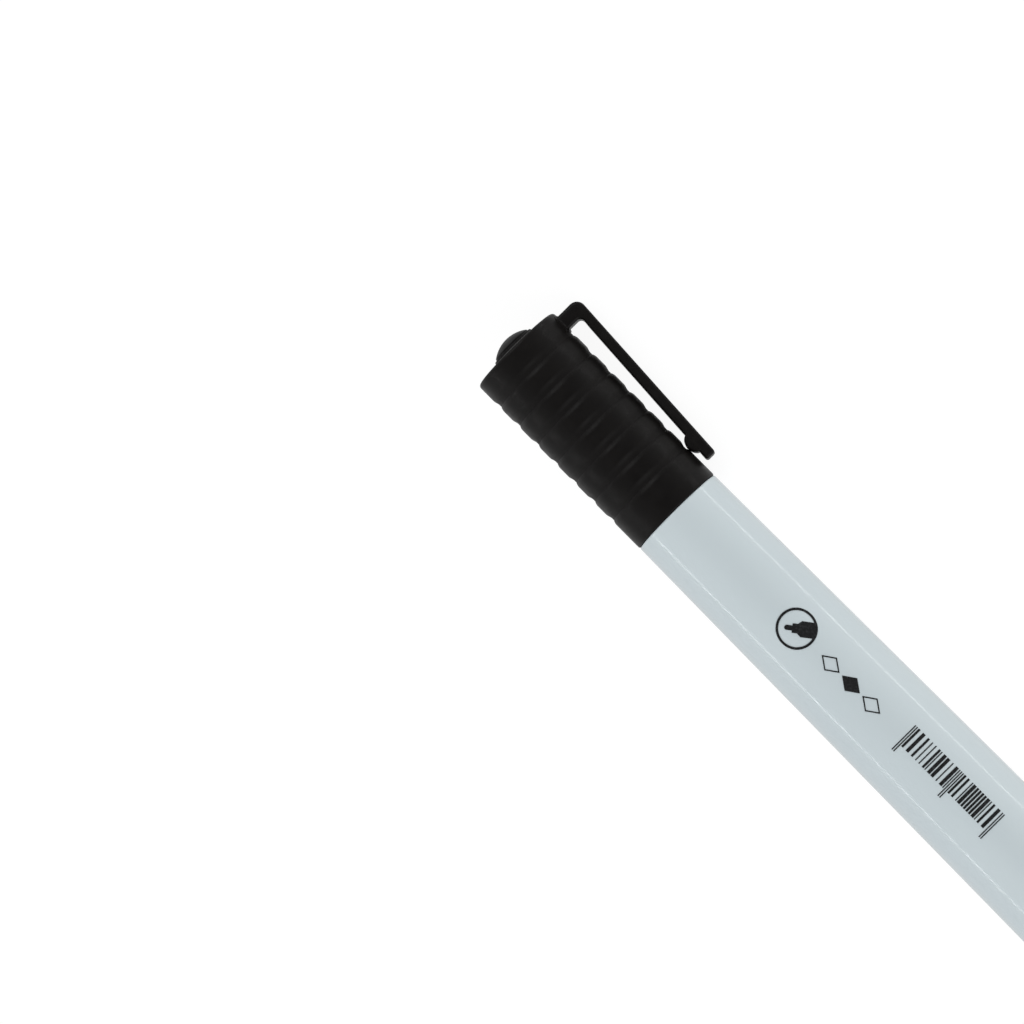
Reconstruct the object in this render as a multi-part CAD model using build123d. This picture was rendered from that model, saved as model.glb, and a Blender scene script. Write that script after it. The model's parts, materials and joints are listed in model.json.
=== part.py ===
from build123d import *
import math
import os

# A bullet-tip felt marker that lies on a table with its cap on.
# Units are millimetres and degrees. +X runs along the axis towards the nib and cap, and +Z is up.
# The origin is the centre of the end plug's flat rear face. Outlines are drawn as (x, radius)
# and turned about the X axis.

# Barrel, from the end plug's head to the shoulder that the cap butts on
barrel_length = 94.0
shoulder_radius = 8.5
barrel_flare = 0.8          # how much thicker the barrel is at its rear end than at the shoulder
barrel_wall = 1.15
shoulder_edge_round = 0.3
shoulder_wall = 1.6         # end wall between the tube's bore and the neck's bore
rib_count = 6               # ribs that hold the ink reservoir clear of the tube
rib_width = 0.8
rib_height = 0.6            # at the shoulder end, where the tube's bore is narrowest
rib_end_gap = 1.0           # ribs start this far in front of the end plug

# Neck, in front of the shoulder, which the cap slides over
neck_length = 8.2
neck_wall = 1.74
bead_start = 1.6            # from the shoulder to the snap bead
bead_length = 1.0
bead_height = 0.12
neck_lead_start = 5.3       # from the shoulder to where the neck starts to narrow
neck_draft = 0.21           # loss of radius from the bead to that place
neck_lead_drop = 0.48       # further loss of radius from there to the mouth
neck_mouth_round = 0.3

# Nib and its holder
nib_radius = 2.73
nib_length = 37.9
nib_straight = 2.0          # straight stretch that stands out of the nozzle
nib_ogive_radius = 9.3      # arc that narrows the tip
nib_tip_radius = 1.0
nib_tail_chamfer = 0.8
collar_length = 1.85        # the holder's flange, which seats on the neck's mouth
collar_step = 0.49          # the flange is this much smaller than the mouth's outer edge
collar_draft = 0.07
collar_edge_round = 0.25
cone_length = 2.3
nozzle_length = 8.36
nozzle_wall = 1.46
nozzle_draft = 0.09
nozzle_end_round = 0.55
holder_skirt_length = 8.6   # pressed into the neck
holder_skirt_wall = 1.0
holder_tube_wall = 0.75     # inner tube round the nib, behind the cone
air_channel_count = 4
air_channel_width = 0.9
air_channel_depth = 0.4
air_channel_stop = 3.0      # the channels end this far behind the nozzle's mouth

# Ink reservoir and its film
film_thickness = 0.15
reservoir_end_gap = 0.2     # between the shoulder wall and the fibre

# End plug
plug_head_length = 3.0
plug_head_inset = 0.15      # the head is this much smaller than the barrel's rear end
plug_edge_round = 0.6
plug_stem_length = 9.0
plug_stem_wall = 1.2
plug_web_length = 2.0       # crossed webs reach this far past the stem, to the fibre
plug_web_thickness = 1.0
plug_bead_place = 5.0       # from the head's inner face to the snap ring
plug_bead_width = 1.2
plug_bead_height = 0.15

# Cap shell
cap_length = 37.4           # rim to the closed end's corner
cap_proud = 0.04            # the cap stands this much proud of the shoulder
cap_wall = 1.32
cap_bore_draft = 0.3
cap_end_wall = 1.5
cap_end_dome = 0.36         # rise of the closed end from its corner to the lip round the button
cap_rim_round = 0.3
cap_end_round = 0.57
valley_count = 7            # grip valleys round the shell
first_valley = 6.6          # from the rim to the middle of the first valley
valley_pitch = 4.355
valley_half_width = 1.22
valley_depth = 0.25
lip_width = 0.3             # raised lip round the vent, across its top
lip_height = 0.4
lip_flare = 0.15            # how much wider the lip is at its foot than at its top
lip_foot_round = 0.3
button_radius = 3.55
button_height = 2.27        # above the closed end's corner
button_dome_radius = 5.8    # of the ball that its top is part of
button_edge_round = 0.2
vent_gap = 0.18             # ring-shaped vent round the button

# Inner seal, which the button is the end of
seal_wall = 0.85
seal_chamber_radius = 4.0   # space round the nib
seal_chamber_start = 0.5    # in front of the nozzle's mouth
seal_button_bore = 2.5
seal_button_wall = 1.4
seal_flange_thickness = 1.0
seal_flange_gap = 0.12

# Pocket clip
clip_width = 5.0
clip_top_height = 4.56      # from the shell's side to the clip's outer face, at the bend
clip_tip_height = 2.76      # the same at the tip
clip_end_inset = 1.18       # the clip's bend is this far short of the closed end's corner
clip_leg_length = 2.7       # along the marker's axis
clip_thickness_top = 1.76
clip_thickness_tip = 1.93
clip_tip_gap = 2.4          # from the rim to the clip's tip
clip_outer_round = 1.6
clip_inner_round = 0.8
clip_tip_round = 0.4
clip_edge_round = 0.4
clip_hinge_height = 1.46    # from the shell's side to the line that the clip flexes about
clip_foot_depth = 0.6       # the clip's foot reaches this far into the shell's wall
bump_start = 4.3            # from the rim to the near end of the grip bump
bump_length = 3.45
bump_gap = 0.08             # between the bump and the shell at rest

# Clearances
press_clearance = 0.05
fibre_clearance = 0.02
bead_clearance = 0.06       # snap bead in the cap's bore
seal_clearance = 0.07       # inner seal round the holder
cap_seat_gap = 0.05         # cap's rim to the shoulder, and the collar to the neck's mouth
hinge_clearance = 0.05

# Places and sizes that follow from the ones above
shoulder_x = plug_head_length + barrel_length
rear_radius = shoulder_radius + barrel_flare
bore_front_radius = shoulder_radius - barrel_wall
bore_rear_radius = rear_radius - barrel_wall
rib_tip_radius = bore_front_radius - rib_height
cap_radius = shoulder_radius + cap_proud
cap_bore_radius = cap_radius - cap_wall
cap_rim_x = shoulder_x + cap_seat_gap
cap_end_x = cap_rim_x + cap_length
cap_floor_x = cap_end_x - cap_end_wall
bead_radius = cap_bore_radius - bead_clearance
neck_radius = bead_radius - bead_height
neck_bore_radius = neck_radius - neck_wall
neck_lead_radius = neck_radius - neck_draft
neck_mouth_radius = neck_lead_radius - neck_lead_drop
neck_mouth_x = shoulder_x + neck_length
collar_x = neck_mouth_x + cap_seat_gap
collar_radius = neck_mouth_radius - collar_step
cone_x = collar_x + collar_length
nozzle_x = cone_x + cone_length
nozzle_radius = nib_radius + nozzle_wall
nozzle_end_x = nozzle_x + nozzle_length
nib_bore_radius = nib_radius + press_clearance
ogive_centre_x = nozzle_end_x + nib_straight
ogive_centre_radius = nib_radius - nib_ogive_radius
tip_centre_x = ogive_centre_x + math.sqrt((nib_ogive_radius - nib_tip_radius) ** 2 - ogive_centre_radius**2)
nib_tip_x = tip_centre_x + nib_tip_radius
nib_tail_x = nib_tip_x - nib_length
film_radius = rib_tip_radius - press_clearance
reservoir_radius = film_radius - film_thickness - fibre_clearance
reservoir_front_x = shoulder_x - shoulder_wall - reservoir_end_gap
reservoir_rear_x = plug_head_length + plug_stem_length + plug_web_length
plug_stem_radius = bore_rear_radius - press_clearance
clip_top_radius = cap_radius + clip_top_height
clip_tip_radius = cap_radius + clip_tip_height
clip_hinge_radius = cap_radius + clip_hinge_height
button_x = cap_end_x + button_height
clip_end_x = cap_end_x - clip_end_inset
clip_tip_x = cap_rim_x + clip_tip_gap
clip_hinge_x = clip_end_x - clip_leg_length / 2
clip_knuckle_radius = clip_leg_length / 2

# The marker lies on its cap and its clip's edge, so the clip points sideways and this far down.
clip_edge_out = clip_top_radius - clip_edge_round
clip_edge_side = clip_width / 2 - clip_edge_round
clip_edge_reach = math.hypot(clip_edge_out, clip_edge_side)
clip_drop = math.degrees(
    math.asin((cap_radius - clip_edge_round) / clip_edge_reach) - math.atan2(clip_edge_side, clip_edge_out)
)
clip_turn = 180 + clip_drop  # from +Y, about the X axis


def turned(outline):
    """A solid of revolution about the marker's axis."""
    return revolve(outline, Axis.X)


def polygon(*points):
    """A flat face with straight sides."""
    return make_face(Polyline(*points, close=True).edges())


def tube(start, end, outer, inner):
    """A plain ring or tube about the axis, with its own outer and inner radius at each end."""
    return turned(polygon((start, inner[0]), (start, outer[0]), (end, outer[1]), (end, inner[1])))


def rounded(face, corners):
    """The face with a round of the given size at each (x, radius) corner."""
    for x, radius, size in corners:
        face = fillet(face.vertices().sort_by_distance((x, radius, 0))[0], size)
    return face


def spokes(count, start, end, inner, outer, width):
    """Straight bars round the axis, which stand from one radius to another."""
    bar = Box(end - start, outer - inner, width, align=(Align.MIN, Align.MIN, Align.CENTER))
    return [Rot(X=index * 360 / count) * Pos(start, inner, 0) * bar for index in range(count)]


def neck_outline():
    """The barrel's side from the shoulder's outer edge over the bead to the neck's mouth."""
    bead_near = (shoulder_x + bead_start, neck_radius)
    bead_top = (shoulder_x + bead_start + bead_length / 2, bead_radius)
    bead_far = (shoulder_x + bead_start + bead_length, neck_radius)
    lead = (shoulder_x + neck_lead_start, neck_lead_radius)
    mouth = (neck_mouth_x, neck_mouth_radius)
    slope = (lead[0] - bead_far[0], lead[1] - bead_far[1])
    return [
        Line((shoulder_x, shoulder_radius), (shoulder_x, neck_radius)),
        Line((shoulder_x, neck_radius), bead_near),
        ThreePointArc(bead_near, bead_top, bead_far),
        Line(bead_far, lead),
        TangentArc(lead, mouth, tangent=slope),
    ]


def make_barrel():
    """Tapered tube with the snap neck in front, ribs inside and a seat for the end plug."""
    inner = Polyline(
        (neck_mouth_x, neck_mouth_radius),
        (neck_mouth_x, neck_bore_radius),
        (shoulder_x - shoulder_wall, neck_bore_radius),
        (shoulder_x - shoulder_wall, bore_front_radius),
        (plug_head_length + plug_stem_length, bore_rear_radius),
        (plug_head_length, bore_rear_radius),
        (plug_head_length, rear_radius),
        (shoulder_x, shoulder_radius),
    )
    face = make_face([*neck_outline(), *inner.edges()])
    face = rounded(
        face,
        [
            (shoulder_x, shoulder_radius, shoulder_edge_round),
            (neck_mouth_x, neck_mouth_radius, neck_mouth_round),
        ],
    )
    ribs = spokes(
        rib_count,
        plug_head_length + plug_stem_length + rib_end_gap,
        shoulder_x - shoulder_wall,
        rib_tip_radius,
        rear_radius,
        rib_width,
    )
    envelope = tube(plug_head_length, shoulder_x, (rear_radius, shoulder_radius), (0, 0))
    barrel = turned(face) + [rib & envelope for rib in ribs]
    ring_x = plug_head_length + plug_bead_place
    ring_radius = bore_rear_radius + plug_bead_height
    groove = tube(
        ring_x - press_clearance,
        ring_x + plug_bead_width + press_clearance,
        (ring_radius, ring_radius),
        (0, 0),
    )
    return barrel - groove


def make_end_plug():
    """Rear plug: a flat round head, a cup-shaped stem with a snap ring, and webs that stop the fibre."""
    head_radius = rear_radius - plug_head_inset
    face = polygon((0, 0), (0, head_radius), (plug_head_length, head_radius), (plug_head_length, 0))
    head = turned(rounded(face, [(0, head_radius, plug_edge_round)]))
    stem_end = plug_head_length + plug_stem_length - press_clearance
    cup_radius = plug_stem_radius - plug_stem_wall
    stem = tube(plug_head_length, stem_end, (plug_stem_radius,) * 2, (cup_radius,) * 2)
    ring_x = plug_head_length + plug_bead_place
    ring_top = plug_stem_radius + plug_bead_height
    ring = turned(
        polygon(
            (ring_x, plug_stem_radius - plug_stem_wall / 2),
            (ring_x, plug_stem_radius),
            (ring_x + plug_bead_width / 2, ring_top),
            (ring_x + plug_bead_width, plug_stem_radius),
            (ring_x + plug_bead_width, plug_stem_radius - plug_stem_wall / 2),
        )
    )
    web_reach = film_radius - film_thickness
    webs = spokes(4, plug_head_length, reservoir_rear_x, 0, web_reach, plug_web_thickness)
    return head + stem + ring + webs


def make_ink_reservoir():
    """Round bundle of fibre that holds the ink, with the hole that the nib's tail presses into it."""
    fibre = tube(reservoir_rear_x, reservoir_front_x, (reservoir_radius,) * 2, (0, 0))
    nib_hole_radius = nib_radius + fibre_clearance
    nib_hole = tube(nib_tail_x, reservoir_front_x, (nib_hole_radius,) * 2, (0, 0))
    return fibre - nib_hole


def make_reservoir_film():
    """Thin film sleeve round the fibre, open at both ends."""
    inner = film_radius - film_thickness
    return tube(reservoir_rear_x, reservoir_front_x, (film_radius,) * 2, (inner,) * 2)


def holder_outline(skirt_x, skirt_radius):
    """The nib holder's outer side: skirt, collar, cone and nozzle."""
    collar_front_radius = collar_radius - collar_draft
    nozzle_end_radius = nozzle_radius - nozzle_draft
    face = polygon(
        (skirt_x, 0),
        (skirt_x, skirt_radius),
        (collar_x, skirt_radius),
        (collar_x, collar_radius),
        (cone_x, collar_front_radius),
        (nozzle_x, nozzle_radius),
        (nozzle_end_x, nozzle_end_radius),
        (nozzle_end_x, 0),
    )
    return rounded(
        face,
        [
            (cone_x, collar_front_radius, collar_edge_round),
            (nozzle_end_x, nozzle_end_radius, nozzle_end_round),
        ],
    )


def make_nib_holder():
    """Front piece that grips the nib: a skirt in the neck, a collar, a cone and the nozzle."""
    skirt_radius = neck_bore_radius - press_clearance
    skirt_x = collar_x - holder_skirt_length
    pocket_radius = skirt_radius - holder_skirt_wall
    tube_radius = nib_bore_radius + holder_tube_wall
    pocket = tube(skirt_x, collar_x, (pocket_radius,) * 2, (0, 0))
    inner_tube = tube(skirt_x, collar_x, (tube_radius,) * 2, (0, 0))
    bore = tube(skirt_x, nozzle_end_x, (nib_bore_radius,) * 2, (0, 0))
    channels = spokes(
        air_channel_count,
        skirt_x,
        nozzle_end_x - air_channel_stop,
        0,
        nib_bore_radius + air_channel_depth,
        air_channel_width,
    )
    return turned(holder_outline(skirt_x, skirt_radius)) - pocket + inner_tube - bore - channels


def make_nib():
    """Felt rod with a bullet tip: a straight rod, an ogive and a small round point."""
    reach = nib_ogive_radius - nib_tip_radius
    along = (tip_centre_x - ogive_centre_x) / reach
    across = -ogive_centre_radius / reach
    half = math.atan2(along, across) / 2
    ogive_start = (ogive_centre_x, nib_radius)
    ogive_middle = (
        ogive_centre_x + nib_ogive_radius * math.sin(half),
        ogive_centre_radius + nib_ogive_radius * math.cos(half),
    )
    ogive_end = (
        ogive_centre_x + nib_ogive_radius * along,
        ogive_centre_radius + nib_ogive_radius * across,
    )
    tip_half = math.atan2(across, along) / 2
    tip_middle = (
        tip_centre_x + nib_tip_radius * math.cos(tip_half),
        nib_tip_radius * math.sin(tip_half),
    )
    rod = Polyline(
        (nib_tip_x, 0),
        (nib_tail_x, 0),
        (nib_tail_x, nib_radius - nib_tail_chamfer),
        (nib_tail_x + nib_tail_chamfer, nib_radius),
        ogive_start,
    )
    return turned(
        make_face(
            [
                *rod.edges(),
                ThreePointArc(ogive_start, ogive_middle, ogive_end),
                ThreePointArc(ogive_end, tip_middle, (nib_tip_x, 0)),
            ]
        )
    )


def valley_arcs(middle):
    """One grip valley round the shell: three arcs that meet smoothly."""
    near = (middle - valley_half_width, cap_radius)
    near_turn = (middle - valley_half_width / 2, cap_radius - valley_depth / 2)
    bottom = (middle, cap_radius - valley_depth)
    far_turn = (middle + valley_half_width / 2, cap_radius - valley_depth / 2)
    far = (middle + valley_half_width, cap_radius)
    return [
        TangentArc(near, near_turn, tangent=(1, 0)),
        ThreePointArc(near_turn, bottom, far_turn),
        TangentArc(far, far_turn, tangent=(-1, 0)),
    ]


def cap_side():
    """The shell's gripped side, from the rim to the closed end's corner."""
    edges = []
    start = cap_rim_x
    for index in range(valley_count):
        middle = cap_rim_x + first_valley + index * valley_pitch
        edges.append(Line((start, cap_radius), (middle - valley_half_width, cap_radius)))
        edges.extend(valley_arcs(middle))
        start = middle + valley_half_width
    edges.append(Line((start, cap_radius), (cap_end_x, cap_radius)))
    return edges


def clip_frame(shape):
    """Turns a shape drawn with the clip along +Y to where the clip really points."""
    return Rot(X=clip_turn) * shape


def make_clip_boss():
    """The stub on the shell that the clip's leg continues, with a round seat for its knuckle."""
    foot_radius = cap_radius - clip_foot_depth
    block = Box(
        clip_leg_length,
        clip_hinge_radius - foot_radius,
        clip_width,
        align=(Align.CENTER, Align.MIN, Align.CENTER),
    )
    seat = Cylinder(clip_knuckle_radius + hinge_clearance, 2 * clip_width)
    return Pos(clip_hinge_x, foot_radius, 0) * block - Pos(clip_hinge_x, clip_hinge_radius, 0) * seat


def make_cap_shell():
    """Ribbed outer cap with a bore for the neck, a hole for the button and the clip's boss."""
    vent_radius = button_radius + vent_gap
    lip_radius = vent_radius + lip_width
    floor_radius = cap_bore_radius - cap_bore_draft
    lip_foot_x = cap_end_x + cap_end_dome
    lip_top_x = lip_foot_x + lip_height
    inner = Polyline(
        (cap_end_x, cap_radius),
        (lip_foot_x, lip_radius + lip_flare),
        (lip_top_x, lip_radius),
        (lip_top_x, vent_radius),
        (cap_floor_x, vent_radius),
        (cap_floor_x, floor_radius),
        (neck_mouth_x, cap_bore_radius),
        (cap_rim_x, cap_bore_radius),
        (cap_rim_x, cap_radius),
    )
    face = make_face([*cap_side(), *inner.edges()])
    face = rounded(
        face,
        [
            (cap_end_x, cap_radius, cap_end_round),
            (lip_foot_x, lip_radius + lip_flare, lip_foot_round),
            (lip_top_x, lip_radius, lip_width / 3),
            (cap_rim_x, cap_radius, cap_rim_round),
            (cap_rim_x, cap_bore_radius, cap_rim_round),
        ],
    )
    return turned(face) + clip_frame(make_clip_boss())


def button_dome_x(radius):
    """Place along the axis of the button's round top, at a distance from the axis."""
    return button_x - button_dome_radius + math.sqrt(button_dome_radius**2 - radius**2)


def make_cap_inner_seal():
    """Inner cup that closes round the holder and the nib; its far end is the button in the cap's end."""
    mouth_radius = collar_radius + seal_clearance
    cone_end = nozzle_radius + seal_clearance
    step_x = nozzle_end_x + seal_chamber_start
    flange_far_x = cap_floor_x - seal_flange_gap
    flange_near_x = flange_far_x - seal_flange_thickness
    flange_radius = cap_bore_radius - cap_bore_draft - seal_flange_gap
    sides = Polyline(
        (button_x, 0),
        (button_x - seal_button_wall, 0),
        (button_x - seal_button_wall, seal_button_bore),
        (flange_far_x, seal_button_bore),
        (flange_near_x, seal_chamber_radius),
        (step_x, seal_chamber_radius),
        (step_x, cone_end),
        (nozzle_x, cone_end),
        (cone_x, mouth_radius),
        (collar_x, mouth_radius),
        (collar_x, mouth_radius + seal_wall),
        (cone_x, mouth_radius + seal_wall),
        (nozzle_x, cone_end + seal_wall),
        (flange_near_x, cone_end + seal_wall),
        (flange_near_x, flange_radius),
        (flange_far_x, flange_radius),
        (flange_far_x, button_radius),
        (button_dome_x(button_radius), button_radius),
    )
    dome = ThreePointArc(
        (button_dome_x(button_radius), button_radius),
        (button_dome_x(button_radius / 2), button_radius / 2),
        (button_x, 0),
    )
    face = make_face([*sides.edges(), dome])
    return turned(rounded(face, [(button_dome_x(button_radius), button_radius, button_edge_round)]))


def clip_inner_radius(x):
    """Distance from the axis to the arm's inner face."""
    share = (clip_end_x - x) / (clip_end_x - clip_tip_x)
    top = clip_top_radius - clip_thickness_top
    tip = clip_tip_radius - clip_thickness_tip
    return top + share * (tip - top)


def is_clip_outer_edge(edge):
    """Whether an edge runs along a side of the arm's outer face."""
    middle = edge.center()
    on_side = abs(abs(middle.Z) - clip_width / 2) < 1e-6
    return on_side and middle.Y > clip_inner_radius(middle.X) + clip_thickness_top / 2


def make_pocket_clip():
    """Clip: a round knuckle in the boss, a leg, a long arm and the grip bump near its tip."""
    leg_inner_x = clip_end_x - clip_leg_length
    face = polygon(
        (clip_end_x, clip_hinge_radius),
        (clip_end_x, clip_top_radius),
        (clip_tip_x, clip_tip_radius),
        (clip_tip_x, clip_inner_radius(clip_tip_x)),
        (leg_inner_x, clip_inner_radius(leg_inner_x)),
        (leg_inner_x, clip_hinge_radius),
    )
    face = rounded(
        face,
        [
            (clip_end_x, clip_top_radius, clip_outer_round),
            (leg_inner_x, clip_inner_radius(leg_inner_x), clip_inner_round),
            (clip_tip_x, clip_tip_radius, clip_tip_round),
        ],
    )
    arm = extrude(face, clip_width / 2, both=True)
    arm = fillet(arm.edges().filter_by(is_clip_outer_edge), clip_edge_round)
    knuckle = Pos(clip_hinge_x, clip_hinge_radius, 0) * Cylinder(clip_knuckle_radius, clip_width)
    bump_near = cap_rim_x + bump_start
    bump_far = bump_near + bump_length
    bump_face = make_face(
        [
            Line((bump_near, clip_inner_radius(bump_near)), (bump_far, clip_inner_radius(bump_far))),
            ThreePointArc(
                (bump_near, clip_inner_radius(bump_near)),
                ((bump_near + bump_far) / 2, cap_radius + bump_gap),
                (bump_far, clip_inner_radius(bump_far)),
            ),
        ]
    )
    bump = extrude(bump_face, clip_width / 2, both=True)
    clip = arm + knuckle + bump
    return clip_frame(clip)


def main():
    """Makes every piece and writes one file for each."""
    os.makedirs("parts", exist_ok=True)
    pieces = {
        "barrel": make_barrel(),
        "end_plug": make_end_plug(),
        "ink_reservoir": make_ink_reservoir(),
        "reservoir_film": make_reservoir_film(),
        "nib_holder": make_nib_holder(),
        "nib": make_nib(),
        "cap_shell": make_cap_shell(),
        "cap_inner_seal": make_cap_inner_seal(),
        "pocket_clip": make_pocket_clip(),
    }
    for name, piece in pieces.items():
        export_step(piece, f"parts/{name}.step")
    print("clip drop", round(clip_drop, 4), "hinge x", round(clip_hinge_x, 4))
    print("nib tip x", round(nib_tip_x, 4), "cap end x", round(cap_end_x, 4))


main()
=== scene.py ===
"""Looks of a capped bullet-tip marker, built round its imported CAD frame.

Everything is in metres, in the frame of the CAD model: +X runs along the marker's axis towards the
cap, +Z is up, and the pocket clip points sideways and a little down. Meshes are worked out in the
marker's own directions (along, side, up), where side is the way the clip points.
"""

import json
import logging
import math
from dataclasses import dataclass, field
from enum import Enum
from typing import Any, Dict, List, Optional, Sequence, Tuple

import bmesh
import bpy
from mathutils import Matrix, Vector, noise


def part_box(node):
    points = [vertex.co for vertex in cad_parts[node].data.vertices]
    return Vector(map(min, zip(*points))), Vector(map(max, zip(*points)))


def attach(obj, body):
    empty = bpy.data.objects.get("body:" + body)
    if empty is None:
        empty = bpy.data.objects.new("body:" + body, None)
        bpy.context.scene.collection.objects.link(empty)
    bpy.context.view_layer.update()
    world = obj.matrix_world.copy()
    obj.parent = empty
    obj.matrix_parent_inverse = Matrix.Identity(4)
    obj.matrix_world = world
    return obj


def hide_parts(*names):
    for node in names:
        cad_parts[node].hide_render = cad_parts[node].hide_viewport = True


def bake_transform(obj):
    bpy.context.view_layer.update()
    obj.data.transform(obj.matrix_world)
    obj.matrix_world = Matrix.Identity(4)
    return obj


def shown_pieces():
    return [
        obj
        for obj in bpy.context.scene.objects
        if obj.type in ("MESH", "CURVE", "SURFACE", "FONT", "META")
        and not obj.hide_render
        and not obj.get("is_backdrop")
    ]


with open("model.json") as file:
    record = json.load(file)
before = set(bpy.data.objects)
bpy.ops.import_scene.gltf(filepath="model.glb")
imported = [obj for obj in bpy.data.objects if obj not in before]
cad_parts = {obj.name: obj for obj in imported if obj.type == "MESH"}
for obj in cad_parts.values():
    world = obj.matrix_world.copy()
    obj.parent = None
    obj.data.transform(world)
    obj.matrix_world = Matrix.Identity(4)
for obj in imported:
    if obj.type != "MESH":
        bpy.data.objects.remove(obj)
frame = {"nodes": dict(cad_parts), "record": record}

log = logging.getLogger("marker")

Colour = Tuple[float, float, float, float]
Flat = Tuple[float, float]
MM = 0.001
MERGE = 1e-7  # vertices nearer than this become one, in metres
AXIS = Vector((1.0, 0.0, 0.0))


class Body(Enum):
    """The bodies that pieces ride on."""

    MARKER = "marker_body"
    CAP = "cap"
    CLIP = "clip"


class Slot(Enum):
    """The record's material slots, kept as a label on each new piece."""

    CAP = "cap_plastic"
    FELT = "felt"
    INK = "printing_ink"


class Fill(Enum):
    """How a printed shape is filled."""

    SOLID = "solid"
    OUTLINE = "outline"


# ---- Node wiring ----


class Wiring:
    """Adds and links nodes in one node tree."""

    def __init__(self, tree: bpy.types.NodeTree) -> None:
        """Keeps the tree that nodes are added to."""
        self.tree = tree

    def add(
        self, kind: str, feeds: Optional[Dict[Any, Any]] = None, **settings: Any
    ) -> bpy.types.Node:
        """Adds a node.

        Args:
            kind: The node's type name.
            feeds: What goes into each input, by the input's name or number: a socket or a value.
            **settings: Attributes of the node, set before its inputs.

        Returns:
            The new node.
        """
        node = self.tree.nodes.new(kind)
        for name, value in settings.items():
            setattr(node, name, value)
        for key, value in (feeds or {}).items():
            self.feed(node.inputs[key], value)
        return node

    def feed(self, socket: bpy.types.NodeSocket, value: Any) -> None:
        """Links a socket to an input, or sets the input's value."""
        if isinstance(value, bpy.types.NodeSocket):
            self.tree.links.new(value, socket)
        else:
            socket.default_value = value

    def math(self, operation: str, *terms: Any) -> bpy.types.NodeSocket:
        """Adds a Math node.

        Args:
            operation: The Math node's operation.
            *terms: Its inputs, each a socket or a number.

        Returns:
            The node's output.
        """
        node = self.add("ShaderNodeMath", dict(enumerate(terms)), operation=operation)
        return node.outputs[0]

    def spread(
        self, value: Any, low: float, high: float, to_low: float, to_high: float
    ) -> bpy.types.NodeSocket:
        """Maps a value from one range to another, smoothly and without leaving the second range.

        Args:
            value: The socket to map.
            low: Start of the range that it comes from.
            high: End of the range that it comes from.
            to_low: What low becomes.
            to_high: What high becomes.

        Returns:
            The mapped value.
        """
        feeds = {
            "Value": value, "From Min": low, "From Max": high, "To Min": to_low, "To Max": to_high
        }
        node = self.add("ShaderNodeMapRange", feeds, interpolation_type="SMOOTHSTEP")
        return node.outputs["Result"]

    def mix(self, share: Any, first: Any, second: Any, blend: str = "MIX") -> bpy.types.NodeSocket:
        """Mixes two colours.

        Args:
            share: How much of the second colour there is.
            first: First colour or socket.
            second: Second colour or socket.
            blend: The blend mode.

        Returns:
            The mixed colour.
        """
        node = self.add(
            "ShaderNodeMix", {0: share, 6: first, 7: second}, data_type="RGBA", blend_type=blend
        )
        return node.outputs[2]


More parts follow.
